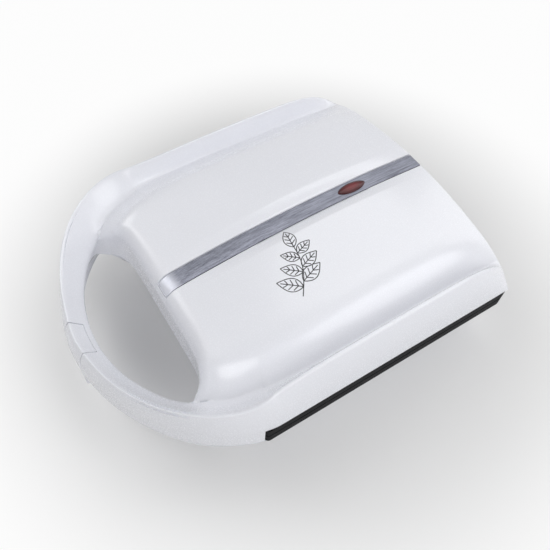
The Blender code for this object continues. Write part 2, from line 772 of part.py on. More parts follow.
def base_shell(finish):
    shell = add_object("base_shell", base_skin(), finish, 40)
    ears = [base_ear(side, outward) for side in (-1, 1) for outward in (-1, 1)]
    bosses = [base_boss(x, y) for x, y in plate_screw_places()]
    bosses += [base_post(x, y) for x, y in reflector_posts()]
    boolean(shell, add_object("base_features", join(catch_block(), *ears, *bosses)), "UNION")
    limb, hook = catch_cutters()
    boolean(shell, add_object("limb_pocket_cut", limb), "DIFFERENCE")
    boolean(shell, add_object("hook_pocket_cut", hook), "DIFFERENCE")
    bores = [hinge_bore(side, HINGE_PIN_RADIUS + GAP) for side in (-1, 1)]
    bores += [lower_screw_bore(x, y) for x, y in plate_screw_places()]
    bores += [foot_bore(x, y) for x, y in foot_places()]
    bores.append(gland_bore())
    boolean(shell, add_object("base_bores", join(*bores)), "DIFFERENCE")
    return shell


# Screws that hold the plates to bosses in the shells
SCREW_INSET_X = 0.0090
SCREW_INSET_FRONT = 0.0120
SCREW_INSET_BACK = 0.0140
SCREW_RADIUS = 0.0016
SCREW_HEAD_RADIUS = 0.0031
SCREW_HEAD = 0.0016
SCREW_BITE = 0.0060
BOSS_RADIUS = 0.0040
LID_BOSS_BELOW_RIDGE = 0.02045


def plate_screw_places():
    x = half_width() - SCREW_INSET_X
    front = PLATE_FRONT_Y + SCREW_INSET_FRONT
    back = BODY_BACK_Y - SCREW_INSET_BACK
    return [(side * x, y) for side in (-1, 1) for y in (front, back)]


def lower_plate_levels():
    """Bottom of the skirt, underside and top of the lower plate, above the parting plane."""
    top = GAP + SKIRT_HEIGHT
    return GAP, top - PLATE_BODY, top


def upper_plate_levels():
    """Working face, back and top of the skirt of the upper plate, above the parting plane."""
    low = 2 * GAP + SKIRT_HEIGHT
    return low, low + PLATE_BODY, low + SKIRT_HEIGHT


def lower_screw_bore(x, y):
    return rod(SCREW_RADIUS + GAP, (x, y, height(-SCREW_BITE - GAP)), (x, y, height(SKIRT_HEIGHT)), 8)


def upper_screw_bore(x, y):
    top = upper_plate_levels()[1] + SCREW_BITE + GAP
    return rod(SCREW_RADIUS + GAP, (x, y, height(0)), (x, y, height(top)), 8)


def base_boss(x, y):
    """Post in the tub that the lower plate sits on."""
    under = lower_plate_levels()[1] - GAP
    return rod(BOSS_RADIUS, (x, y, height(-SCREW_BITE - WALL)), (x, y, height(under)), 10)


def lid_boss(x, y):
    """Post under the lid's roof that the upper plate is screwed to."""
    low = upper_plate_levels()[1] + GAP
    top = RIDGE_HEIGHT - LID_BOSS_BELOW_RIDGE
    return rod(BOSS_RADIUS, (x, y, height(low)), (x, y, height(top)), 10)


# Baking plates
def cell_pitch():
    across = (BODY_WIDTH - 2 * PLATE_BORDER_X) / CELLS_ACROSS
    lengthwise = (BODY_BACK_Y - PLATE_FRONT_Y - 2 * PLATE_BORDER_Y) / CELLS_ALONG
    return across, lengthwise


def cell_centres():
    across, lengthwise = cell_pitch()
    for row in range(CELLS_ALONG):
        for column in range(CELLS_ACROSS):
            x = (column + 0.5) * across - CELLS_ACROSS * across / 2
            y = PLATE_FRONT_Y + PLATE_BORDER_Y + (row + 0.5) * lengthwise
            yield x, y


ring_size_shares = (1, 0.82, 0.46)
ring_depth_shares = (0, 0.52, 0.92)
core_size_shares = (1, 0.86, 0.5)
core_depth_shares = (0, 0.6, 0.95)
back_size_shares = (1, 0.7)
back_depth_shares = (0, 0.86)
bulge_side_share = 0.7


def walnut_rings(centre, level, sizes, depths, length, width, depth, points, wrinkle):
    """Rings of half a walnut shell, whose ribs run lengthwise from a raised seam."""
    rings = []
    for n, (size, sunk) in enumerate(zip(sizes, depths)):
        ring = []
        for i in range(points):
            angle = 2 * math.pi * (i + 0.5) / points
            ridge = wrinkle * (1 if i % 2 else -1) if 0 < n else 0
            x = centre[0] + length / 2 * size * math.cos(angle)
            y = centre[1] + width / 2 * size * math.sin(angle)
            ring.append((x, y, height(level - depth * sunk + ridge)))
        rings.append(ring)
    tip = (centre[0], centre[1], height(level - depth))
    return rings, tip


def add_patch(bm, shared, centre, level, rings, tip):
    """One cell: its rectangle, the rings of its hollow and the middle of the hollow."""
    across, lengthwise = cell_pitch()
    border = []
    for i, j in ((1, 0), (1, 1), (0, 1), (-1, 1), (-1, 0), (-1, -1), (0, -1), (1, -1)):
        place = (centre[0] + i * across / 2, centre[1] + j * lengthwise / 2, height(level))
        key = (round(place[0] / GAP), round(place[1] / GAP), level)
        if key not in shared:
            shared[key] = bm.verts.new(place)
        border.append(shared[key])
    loops = [[bm.verts.new(point) for point in ring] for ring in rings]
    fill_between(bm, border, loops[0])
    for outer, inner in zip(loops, loops[1:]):
        count = len(outer)
        for i in range(count):
            j = (i + 1) % count
            bm.faces.new((outer[i], outer[j], inner[j]))
            bm.faces.new((outer[i], inner[j], inner[i]))
    last = loops[-1]
    middle = bm.verts.new(tip)
    for i in range(len(last)):
        bm.faces.new((last[i], last[(i + 1) % len(last)], middle))


def fill_between(bm, border, loop):
    """Fill between a cell's border and the oval inside it, walking round both together."""
    total = len(border) + len(loop)
    half_step = 1 / 2
    a = 0
    b = 0
    while a + b < total:
        outer = border[a % len(border)]
        inner = loop[b % len(loop)]
        next_outer = (a + 1) / len(border)
        next_inner = (b + 1 + half_step) / len(loop)
        if b >= len(loop) or (a < len(border) and next_outer <= next_inner):
            bm.faces.new((outer, border[(a + 1) % len(border)], inner))
            a += 1
        else:
            bm.faces.new((outer, loop[(b + 1) % len(loop)], inner))
            b += 1


def plate_outline(inset):
    """Outline of a plate, its corners cut across."""
    x = half_width() - inset
    front = PLATE_FRONT_Y + inset
    back = BODY_BACK_Y - inset
    cut = PLATE_CORNER
    return [(x, front + cut), (x, back - cut), (x - cut, back), (cut - x, back),
            (-x, back - cut), (-x, front + cut), (cut - x, front), (x - cut, front)]


def boundary_edges(bm, level):
    """Open edges that lie at a level."""
    found = []
    for edge in bm.edges:
        flat = all(abs(vert.co.z - height(level)) < GAP / 2 for vert in edge.verts)
        if edge.is_boundary and flat:
            found.append(edge)
    return found


def fill_border(bm, outer, level):
    """Fill the flat border between the cells and a plate's outline."""
    edges = boundary_edges(bm, level)
    for i, vert in enumerate(outer):
        after = outer[(i + 1) % len(outer)]
        edge = bm.edges.get((vert, after)) or bm.edges.new((vert, after))
        if edge not in edges:
            edges.append(edge)
    bmesh.ops.triangle_fill(bm, use_beauty=True, edges=edges, normal=(0, 0, 1))


def plate_mesh(face_level, back_level, skirt_level, sunk, backed):
    """A cast plate: worked face, skirt round it and a back."""
    bm = bmesh.new()
    shared = {}
    for centre in cell_centres():
        add_patch(bm, shared, centre, face_level, *sunk(centre))
    outer = [bm.verts.new((x, y, height(face_level))) for x, y in plate_outline(0)]
    fill_border(bm, outer, face_level)
    loops = [outer]
    for inset, level in ((0, skirt_level), (PLATE_SKIRT, skirt_level), (PLATE_SKIRT, back_level)):
        loops.append([bm.verts.new((x, y, height(level))) for x, y in plate_outline(inset)])
    for first, second in zip(loops, loops[1:]):
        for i in range(len(first)):
            j = (i + 1) % len(first)
            bm.faces.new((first[i], first[j], second[j], second[i]))
    if backed:
        for centre in cell_centres():
            add_patch(bm, shared, centre, back_level, *backed(centre))
        fill_border(bm, loops[-1], back_level)
    else:
        bm.faces.new(loops[-1])
    return bm


def lower_hollow(centre):
    return walnut_rings(centre, lower_plate_levels()[2], ring_size_shares, ring_depth_shares,
                        SHELL_LENGTH, SHELL_WIDTH, SHELL_DEPTH, SHELL_POINTS, WRINKLE)


def lower_bulge(centre):
    low = lower_plate_levels()[1]
    drop = SHELL_DEPTH + SHELL_WALL - PLATE_BODY
    return walnut_rings(centre, low, back_size_shares, back_depth_shares,
                        SHELL_LENGTH + 2 * SHELL_WALL, SHELL_WIDTH + 2 * bulge_side_share * SHELL_WALL,
                        drop, CASTING_POINTS, 0)


def upper_core(centre):
    return walnut_rings(centre, upper_plate_levels()[0], core_size_shares, core_depth_shares,
                        SHELL_LENGTH - 2 * DOUGH_GAP, SHELL_WIDTH - 2 * DOUGH_GAP,
                        SHELL_DEPTH - DOUGH_GAP, CORE_POINTS, WRINKLE / 2)


def lower_baking_plate(finish):
    skirt, under, top = lower_plate_levels()
    bm = plate_mesh(top, under, skirt, lower_hollow, lower_bulge)
    plate = add_object("lower_baking_plate", bm, finish, 50)
    bores = [rod(SCREW_RADIUS + GAP, (x, y, height(-CUT_OVERRUN)), (x, y, height(top + CUT_OVERRUN)), 8)
             for x, y in plate_screw_places()]
    boolean(plate, add_object("lower_clamp_pads", join(*clamp_pads())), "UNION")
    boolean(plate, add_object("lower_plate_bores", join(*bores)), "DIFFERENCE")
    heads = [rod(SCREW_HEAD_RADIUS + GAP, (x, y, height(top - SCREW_HEAD - GAP)),
                 (x, y, height(top + CUT_OVERRUN)), 10) for x, y in plate_screw_places()]
    boolean(plate, add_object("lower_plate_counterbores", join(*heads)), "DIFFERENCE")
    return plate


def upper_baking_plate(finish):
    face, back, skirt = upper_plate_levels()
    bm = plate_mesh(face, back, skirt, upper_core, None)
    plate = add_object("upper_baking_plate", bm, finish, 50)
    bores = [rod(SCREW_RADIUS + GAP, (x, y, height(0)), (x, y, height(skirt + CUT_OVERRUN)), 8)
             for x, y in plate_screw_places()]
    boolean(plate, add_object("upper_plate_bores", join(*bores)), "DIFFERENCE")
    heads = [rod(SCREW_HEAD_RADIUS + GAP, (x, y, height(0)), (x, y, height(face + SCREW_HEAD + GAP)), 10)
             for x, y in plate_screw_places()]
    boolean(plate, add_object("upper_plate_counterbores", join(*heads)), "DIFFERENCE")
    return plate


corner_words = ("front_left", "back_left", "front_right", "back_right")


def plate_screws(name, finish, head_level, way):
    """Screws through a plate's corners into the bosses behind it."""
    for word, (x, y) in zip(corner_words, plate_screw_places()):
        neck = head_level + way * (SCREW_HEAD - GAP)
        end = head_level + way * (PLATE_BODY + SCREW_BITE - GAP)
        screw = rod(SCREW_HEAD_RADIUS, (x, y, height(head_level)), (x, y, height(neck)), 10)
        shank = rod(SCREW_RADIUS, (x, y, height(neck - way * GAP)), (x, y, height(end)), 8)
        head = add_object(name + "_" + word, screw, finish, 40)
        boolean(head, add_object(name + "_shank_" + word, shank), "UNION")


# Heating elements, bent in a long loop between the rows of hollows, and what holds them
ELEMENT_RADIUS = 0.0032
ELEMENT_BEND_RADIUS = 0.0125
ELEMENT_INSET_X = 0.0300
CLAMP_WIDTH = 0.0080
CLAMP_WALL = 0.0012
CLAMP_FOOT = 0.0070
REFLECTOR_WALL = 0.0010
REFLECTOR_INSET_X = 0.0255
REFLECTOR_LIP = 0.0040
cold_end_share = 0.25


def loop_path(level):
    """Element's centre line: across, round the end and back, between its two cold ends at the rear."""
    x = half_width() - ELEMENT_INSET_X
    lengthwise = cell_pitch()[1]
    front = PLATE_FRONT_Y + PLATE_BORDER_Y + lengthwise
    bend = ELEMENT_BEND_RADIUS
    back = BODY_BACK_Y - PLATE_BORDER_Y - lengthwise / 2
    corners = [((x - bend, back - bend), 90, 0), ((x - bend, front + bend), 0, -90),
               ((bend - x, front + bend), -90, -180), ((bend - x, back - bend), 180, 90)]
    plan = []
    for centre, start, end in corners:
        plan += arc(centre, bend, start, end, 4)
    cold_x = x * cold_end_share
    plan = [(cold_x, back)] + plan + [(-cold_x, back)]
    return [(px, py, height(level)) for px, py in plan]


def tube(name, points, radius, finish, resolution=1):
    """A round tube along a path, its ends capped."""
    curve = bpy.data.curves.new(name, "CURVE")
    curve.dimensions = "3D"
    curve.bevel_depth = radius
    curve.bevel_resolution = resolution
    curve.use_fill_caps = True
    line = curve.splines.new("POLY")
    line.points.add(len(points) - 1)
    for spot, point in zip(line.points, points):
        spot.co = (*point, 1)
    made = bpy.data.objects.new(name, curve)
    bpy.context.scene.collection.objects.link(made)
    curve.materials.append(finish)
    return made


def lower_element_level():
    bottom = lower_plate_levels()[2] - SHELL_DEPTH - SHELL_WALL
    return bottom - ELEMENT_RADIUS - GAP


def upper_element_level():
    return upper_plate_levels()[1] + ELEMENT_RADIUS + GAP


def clamp_places():
    x = half_width() - ELEMENT_INSET_X
    middle = (PLATE_FRONT_Y + BODY_BACK_Y) / 2
    return [(side * x, middle) for side in (-1, 1)]


def clamps(name, level, way, finish):
    """Saddle straps that press an element to its plate; way points from the plate to the element."""
    reach = ELEMENT_RADIUS + GAP
    seat = level - way * ELEMENT_RADIUS
    for word, (x, y) in zip(("left", "right"), clamp_places()):
        outer = arc((x, height(level)), reach + CLAMP_WALL, 0, way * 180, 8)
        inner = arc((x, height(level)), reach, way * 180, 0, 8)
        low = height(seat)
        shelf = height(seat + way * CLAMP_WALL)
        wide = reach + CLAMP_WALL
        profile = [(x + wide + CLAMP_FOOT, low), (x + wide + CLAMP_FOOT, shelf), (x + wide, shelf)]
        profile += outer[1:-1]
        profile += [(x - wide, shelf), (x - wide - CLAMP_FOOT, shelf), (x - wide - CLAMP_FOOT, low),
                    (x - reach, low)]
        profile += inner[1:-1] + [(x + reach, low)]
        bm = bmesh.new()
        near = [bm.verts.new((px, y - CLAMP_WIDTH / 2, pz)) for px, pz in profile]
        far = [bm.verts.new((px, y + CLAMP_WIDTH / 2, pz)) for px, pz in profile]
        bm.faces.new(near)
        bm.faces.new(far[::-1])
        for i in range(len(profile)):
            j = (i + 1) % len(profile)
            bm.faces.new((near[i], far[i], far[j], near[j]))
        add_object(name + "_" + word, bm, finish, 40)


def reflector(name, level, way, finish):
    """Shallow sheet tray behind an element, with turned-up lips."""
    x = half_width() - REFLECTOR_INSET_X
    front = PLATE_FRONT_Y + REFLECTOR_LIP * 2
    back = BODY_BACK_Y - REFLECTOR_LIP * 3
    low = height(level)
    floor = height(level - way * REFLECTOR_WALL)
    top = height(level - way * REFLECTOR_LIP)
    bm = bmesh.new()

    def loop(inset, z):
        return [bm.verts.new((px, py, z)) for px, py in (
            (x - inset, front + inset), (x - inset, back - inset), (inset - x, back - inset),
            (inset - x, front + inset))]

    loops = [loop(REFLECTOR_LIP, low), loop(0, top), loop(REFLECTOR_WALL, top),
             loop(REFLECTOR_LIP + REFLECTOR_WALL, floor)]
    bm.faces.new(loops[0][::-1])
    for first, second in zip(loops, loops[1:]):
        for i in range(4):
            j = (i + 1) % 4
            bm.faces.new((first[i], first[j], second[j], second[i]))
    bm.faces.new(loops[-1])
    return add_object(name, bm, finish)


# Metal strip, lens and lamp
LENS_Y = 0.0754
LENS_LENGTH = 0.0240
LENS_WIDTH = 0.0090
LENS_RISE = 0.0009
LENS_STEM = 0.0050
LENS_STEM_SHARE = 0.72
LAMP_RADIUS = 0.0030
LAMP_LENGTH = 0.0130


def oval(scale, growth, low, high):
    """Upright oval prism on the lens's place."""
    half = LENS_WIDTH / 2 * scale + growth
    straight = (LENS_LENGTH - LENS_WIDTH) / 2 * scale
    profile = arc((0, LENS_Y + straight), half, 0, 180, 6)
    profile += arc((0, LENS_Y - straight), half, 180, 360, 6)
    return prism(profile, low, high, "Z")


def lamp_opening(scale, growth):
    top = height(crown(LENS_Y, BAND_HEIGHT, BAND_DROP))
    return oval(scale, growth, top - LENS_STEM - CUT_OVERRUN, top + CUT_OVERRUN)


def strip_profile():
    """Points (y, height) along the groove, from the rear edge to the end over the front edge."""
    points = []
    for place, share in zip(station_shares, row_centre_shares):
        y = BODY_BACK_Y + (PLATEAU_FRONT_Y - BODY_BACK_Y) * share
        level = crown(y, BAND_HEIGHT, BAND_DROP)
        arched = along(arch_shares, place)
        points.append((y, level * (1 - arched) + BACK_ARCH_HEIGHT * arched))
    y, level = points[-1]
    for run, fall in list(zip(front_run_shares, front_fall_shares))[1:3]:
        foot = HOLE_BACK_Y
        base = (level - GROOVE_DEPTH) * fall + GROOVE_DEPTH
        points.append((y + (foot - y) * run, base))
    return points


def trim_strip(finish):
    """Brushed strip that lies in the lid's groove and rolls over its front edge."""
    points = strip_profile()
    points[0] = (points[0][0] - GAP, points[0][1])
    end = points[-1]
    before = points[-2]
    run = Vector((end[0] - before[0], end[1] - before[1])).normalized()
    points[-1] = (end[0] - run.x * GAP, end[1] - run.y * GAP)
    bm = bmesh.new()
    rings = []
    side = STRIP_WIDTH / 2
    for y, level in points:
        top = height(level)
        low = top - STRIP_THICKNESS
        rings.append([bm.verts.new((side, y, top)), bm.verts.new((-side, y, top)),
                      bm.verts.new((-side, y, low)), bm.verts.new((side, y, low))])
    for first, second in zip(rings, rings[1:]):
        for i in range(4):
            j = (i + 1) % 4
            bm.faces.new((first[i], first[j], second[j], second[i]))
    bm.faces.new(rings[0])
    bm.faces.new(rings[-1][::-1])
    strip = add_object("trim_strip", bm, finish, 30)
    boolean(strip, add_object("lens_cut", lamp_opening(1, GAP)), "DIFFERENCE")
    return strip


def lamp_lens(finish):
    """Lens set flush in the strip, with a stem through the lid."""
    top = height(crown(LENS_Y, BAND_HEIGHT, BAND_DROP))
    lens = add_object("lamp_lens", oval(1, 0, top - STRIP_THICKNESS - GAP / 3, top + LENS_RISE), finish, 40)
    stem = oval(LENS_STEM_SHARE, 0, top - LENS_STEM, top)
    boolean(lens, add_object("lens_stem", stem), "UNION")
    return lens


def indicator_lamp(finish):
    top = height(crown(LENS_Y, BAND_HEIGHT, BAND_DROP)) - LENS_STEM - GAP - LAMP_RADIUS
    bm = rod(LAMP_RADIUS, (0, LENS_Y - LAMP_LENGTH / 2, top), (0, LENS_Y + LAMP_LENGTH / 2, top), 10)
    return add_object("indicator_lamp", bm, finish, 40)


# Feet, gland, controls inside and covers
FOOT_RADIUS = 0.0090
FOOT_TIP_RADIUS = 0.0075
FOOT_STUD_RADIUS = 0.0030
FOOT_STUD = 0.0050
FOOT_INSET_X = 0.0400
FOOT_INSET_Y = 0.0280
GLAND_X = 0.0300
GLAND_DROP = 0.0190
GLAND_RADIUS = 0.0055
GLAND_FLANGE_RADIUS = 0.0085
GLAND_FLANGE = 0.0020
GLAND_BORE = 0.0033
GLAND_LENGTH = 0.0090
COVER_THICKNESS = 0.0020
THERMOSTAT_RADIUS = 0.0100
THERMOSTAT_HEIGHT = 0.0080
FUSE_RADIUS = 0.0025
FUSE_LENGTH = 0.0240
TERMINAL_LENGTH = 0.0300
TERMINAL_WIDTH = 0.0120
TERMINAL_HEIGHT = 0.0060
TERMINAL_BACK = 0.0050
WIRE_RADIUS = 0.0010
TRAY_GAP = 0.0020


def foot_places():
    x = half_width() - FOOT_INSET_X
    return [(side * x, y) for side in (-1, 1)
            for y in (TUB_FRONT_Y + FOOT_INSET_Y, BODY_BACK_Y - FOOT_INSET_Y)]


def foot_bore(x, y):
    floor = height(-TUB_DEPTH)
    top = floor + BASE_FLOOR + CUT_OVERRUN
    return rod(FOOT_STUD_RADIUS + GAP, (x, y, floor - CUT_OVERRUN), (x, y, top), 10)


def feet(finish):
    floor = height(-TUB_DEPTH) - GAP
    for word, (x, y) in zip(corner_words, foot_places()):
        bm = bmesh.new()
        rings = []
        for radius, z in ((FOOT_TIP_RADIUS, 0), (FOOT_RADIUS, floor / 3), (FOOT_RADIUS, floor),
                          (FOOT_STUD_RADIUS, floor), (FOOT_STUD_RADIUS, floor + FOOT_STUD)):
            rings.append([bm.verts.new((x + px, y + py, z)) for px, py in arc((0, 0), radius, 0, 330, 11)])
        bm.faces.new(rings[0][::-1])
        bm.faces.new(rings[-1])
        for first, second in zip(rings, rings[1:]):
            for i in range(12):
                j = (i + 1) % 12
                bm.faces.new((first[i], first[j], second[j], second[i]))
        add_object("foot_" + word, bm, finish, 40)


def gland_axis():
    return GLAND_X, height(-GLAND_DROP)


def gland_bore():
    x, z = gland_axis()
    return rod(GLAND_RADIUS + GAP, (x, BODY_BACK_Y - 5 * WALL, z), (x, BODY_BACK_Y + CUT_OVERRUN, z), 12)


def cord_gland(finish):
    """Grommet in the tub's rear wall, where the mains cord goes in."""
    x, z = gland_axis()
    wall = BODY_BACK_Y
    body = rod(GLAND_RADIUS, (x, wall - GLAND_LENGTH, z), (x, wall + GLAND_FLANGE, z), 12)
    gland = add_object("cord_gland", body, finish, 40)
    flange = rod(GLAND_FLANGE_RADIUS, (x, wall + 2 * GAP, z), (x, wall + GLAND_FLANGE, z), 12)
    boolean(gland, add_object("gland_flange", flange), "UNION")
    bore = rod(GLAND_BORE, (x, wall - GLAND_LENGTH - CUT_OVERRUN, z), (x, wall + CUT_OVERRUN, z), 10)
    boolean(gland, add_object("gland_hole", bore), "DIFFERENCE")
    return gland


def handle_cover(name, level, side, finish):
    """Flat cover that closes one side of a handle channel."""
    first = SHOULDER + 1
    outer_run = []
    inner_run = []
    for i in range(first, len(station_shares) - 4):
        place = station_shares[i]
        point, inward = outline(place)
        width = CHANNEL_WIDTH * along(channel_shares, place)
        near = point + inward * (WALL + 2 * GAP)
        far = point + inward * (width + HOLE_DRAFT - WALL - 3 * GAP)
        outer_run.append((side * near.x, near.y))
        inner_run.append((side * far.x, far.y))
    profile = outer_run + inner_run[::-1]
    low = min(level, level + COVER_THICKNESS * (1 if level > 0 else -1))
    bm = prism(profile, height(low), height(low + COVER_THICKNESS), "Z")
    return add_object(name, bm, finish)


def hinge_pins(finish):
    for name, side in (("hinge_pin_left", -1), ("hinge_pin_right", 1)):
        y, z = hinge_axis()
        reach = KNUCKLE_WIDTH / 2 + HINGE_SIDE_GAP + EAR_WIDTH
        centre = side * KNUCKLE_X
        add_object(name, rod(HINGE_PIN_RADIUS, (centre - reach, y, z), (centre + reach, y, z)), finish, 40)


def latch_pin(finish):
    reach = LATCH_HALF_WIDTH + RIM_GAP + RIB / 2 - GAP
    place = (LATCH_PIVOT_Y, height(LATCH_PIVOT_HEIGHT))
    return add_object("latch_pin", rod(LATCH_PIN_RADIUS, (-reach, *place), (reach, *place), 10), finish, 40)


def floor_level():
    """Inner face of the tub's floor, above the parting plane."""
    return -TUB_DEPTH + BASE_FLOOR


def lower_tray_level():
    return lower_element_level() - ELEMENT_RADIUS - CLAMP_WALL - TRAY_GAP - REFLECTOR_LIP


def upper_tray_level():
    return upper_element_level() + ELEMENT_RADIUS + CLAMP_WALL + TRAY_GAP + REFLECTOR_LIP


def reflector_posts():
    """Places of the posts that carry the reflector trays, in the shells."""
    x = (half_width() - REFLECTOR_INSET_X) * 0.5
    middle = (PLATE_FRONT_Y + BODY_BACK_Y) / 2
    return [(side * x, middle + end * cell_pitch()[1] * 2) for side in (-1, 1) for end in (-1, 1)]


def base_post(x, y):
    return rod(BOSS_RADIUS, (x, y, height(floor_level() - BASE_FLOOR / 2)),
               (x, y, height(lower_tray_level() - GAP)), 10)


def lid_post(x, y):
    roof = crown(y, PANEL_EDGE_HEIGHT, PANEL_EDGE_DROP) - ROOF / 4
    return rod(BOSS_RADIUS, (x, y, height(upper_tray_level() + GAP)), (x, y, height(roof)), 10)


def clamp_pads():
    """Posts on the lower plate's underside that the clamps' feet are screwed to."""
    under = lower_plate_levels()[1]
    seat = lower_element_level() + ELEMENT_RADIUS + GAP
    top = under + PLATE_BODY / 2
    arm = ELEMENT_RADIUS + GAP + CLAMP_WALL + CLAMP_FOOT / 2
    pads = []
    for x, y in clamp_places():
        for way in (-1, 1):
            spot = x + way * arm
            pads.append(rod(CLAMP_FOOT / 2, (spot, y, height(seat)), (spot, y, height(top)), 8))
    return pads


def thermostat(steel):
    """Disc thermostat on the upper plate's back."""
    middle = (PLATE_FRONT_Y + BODY_BACK_Y) / 2
    seat = upper_plate_levels()[1] + GAP
    add_object("thermostat", rod(THERMOSTAT_RADIUS, (0, middle, height(seat)),
                                 (0, middle, height(seat + THERMOSTAT_HEIGHT)), 16), steel, 40)


def base_controls(ceramic, steel):
    """Terminal block and fuse on the tub's floor."""
    low = floor_level() + GAP
    back = BODY_BACK_Y - WALL - TERMINAL_BACK
    add_object("terminal_block", box((-TERMINAL_LENGTH / 2, back - TERMINAL_WIDTH, height(low)),
                                     (TERMINAL_LENGTH / 2, back, height(low + TERMINAL_HEIGHT))), ceramic)
    y = back - TERMINAL_WIDTH / 2
    near = -TERMINAL_LENGTH / 2 - GAP
    add_object("thermal_fuse", rod(FUSE_RADIUS, (near, y, height(low + FUSE_RADIUS)),
                                   (near - FUSE_LENGTH, y, height(low + FUSE_RADIUS)), 10), steel, 40)


def smooth_path(points, steps=3):
    """Rounded path through a wire's points."""
    path = [Vector(points[0])]
    for before, here, after in zip(points, points[1:], points[2:]):
        a = (Vector(before) + Vector(here)) / 2
        b = (Vector(here) + Vector(after)) / 2
        for i in range(steps + 1):
            t = i / steps
            path.append(a * (1 - t) ** 2 + Vector(here) * 2 * t * (1 - t) + b * t ** 2)
    path.append(Vector(points[-1]))
    return path


def element_end():
    """Place of an element's cold end, right of the middle."""
    x = (half_width() - ELEMENT_INSET_X) * cold_end_share - GAP
    return x, BODY_BACK_Y - PLATE_BORDER_Y - cell_pitch()[1] / 2


def base_wiring(finish):
    """Leads from the lower element's ends to the terminal block."""
    end_x, end_y = element_end()
    block_top = floor_level() + 2 * GAP + TERMINAL_HEIGHT
    block_y = BODY_BACK_Y - WALL - TERMINAL_BACK - WIRE_RADIUS * 2
    level = height(lower_element_level())
    for side, word in ((-1, "left"), (1, "right")):
        x = side * end_x
        inner = side * TERMINAL_LENGTH / 3
        route = [(x, end_y, level), (x - side * end_x / 3, end_y, level), (inner, end_y + end_x / 3, level),
                 (inner, block_y, level), (inner, block_y, height(block_top))]
        tube("lower_lead_" + word, smooth_path(route), WIRE_RADIUS, finish)


def lid_wiring(finish):
    """Leads from the upper element's ends to the thermostat."""
    end_x, end_y = element_end()
    stop = (PLATE_FRONT_Y + BODY_BACK_Y) / 2 + THERMOSTAT_RADIUS + GAP
    level = height(upper_element_level())
    for side, word in ((-1, "left"), (1, "right")):
        x = side * end_x
        near = side * THERMOSTAT_RADIUS / 3
        route = [(x, end_y, level), (x - side * end_x / 2, end_y, level), (near, end_y - end_x, level),
                 (near, stop, level)]
        tube("upper_lead_" + word, smooth_path(route), WIRE_RADIUS, finish)


def hang_lid(still):
    """Hang everything made after the base on an empty on the hinge's axis."""
    pivot = bpy.data.objects.new("lid_pivot", None)
    bpy.context.scene.collection.objects.link(pivot)
    pivot.location = (0, *hinge_axis())
    for piece in list(bpy.data.objects):
        if piece != pivot and piece.name not in still and piece.parent is None:
            hang(piece, pivot)


def main():
    clear_scene()
    plastic = material("white_plastic", (0.80, 0.81, 0.84), 0.32)
    casting = material("black_casting", (0.035, 0.035, 0.04), 0.45)
    brushed = material("brushed_metal", (0.34, 0.35, 0.40), 0.35, 0.9)
    red = material("red_lens", (0.22, 0.01, 0.015), 0.15)
    rubber = material("dark_rubber", (0.05, 0.05, 0.05), 0.8)
    steel = material("zinc_steel", (0.62, 0.62, 0.62), 0.35, 1.0)
    sheathed = material("element_sheath", (0.32, 0.31, 0.30), 0.5, 0.8)
    foil = material("aluminium_sheet", (0.75, 0.76, 0.77), 0.4, 1.0)
    ceramic = material("ceramic", (0.85, 0.83, 0.78), 0.6)

    base_shell(plastic)
    lower_baking_plate(casting)
    plate_screws("lower_plate_screw", steel, lower_plate_levels()[2] - SCREW_HEAD / 4, -1)
    hinge_pins(steel)
    feet(rubber)
    cord_gland(rubber)
    tube("lower_heating_element", loop_path(lower_element_level()), ELEMENT_RADIUS, sheathed)
    clamps("lower_element_clamp", lower_element_level(), -1, steel)
    reflector("lower_heat_reflector", lower_tray_level(), -1, foil)
    base_controls(ceramic, steel)
    base_wiring(rubber)
    for side, word in ((-1, "left"), (1, "right")):
        handle_cover("lower_handle_cover_" + word, -GAP, side, plastic)
    still = {piece.name for piece in bpy.data.objects}

    lid_shell(plastic)
    upper_baking_plate(casting)
    plate_screws("upper_plate_screw", steel, upper_plate_levels()[0] + SCREW_HEAD / 4, 1)
    trim_strip(brushed)
    lamp_lens(red)
    indicator_lamp(ceramic)
    latch_clip(plastic)
    latch_pin(steel)
    tube("upper_heating_element", loop_path(upper_element_level()), ELEMENT_RADIUS, sheathed)
    clamps("upper_element_clamp", upper_element_level(), 1, steel)
    reflector("upper_heat_reflector", upper_tray_level(), 1, foil)
    thermostat(steel)
    lid_wiring(rubber)
    for side, word in ((-1, "left"), (1, "right")):
        handle_cover("upper_handle_cover_" + word, RIM_GAP + GAP, side, plastic)
    hang_lid(still)


main()
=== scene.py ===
import json
import math

import bmesh
import bpy
import numpy as np
from mathutils import Matrix, Vector
from mathutils.bvhtree import BVHTree


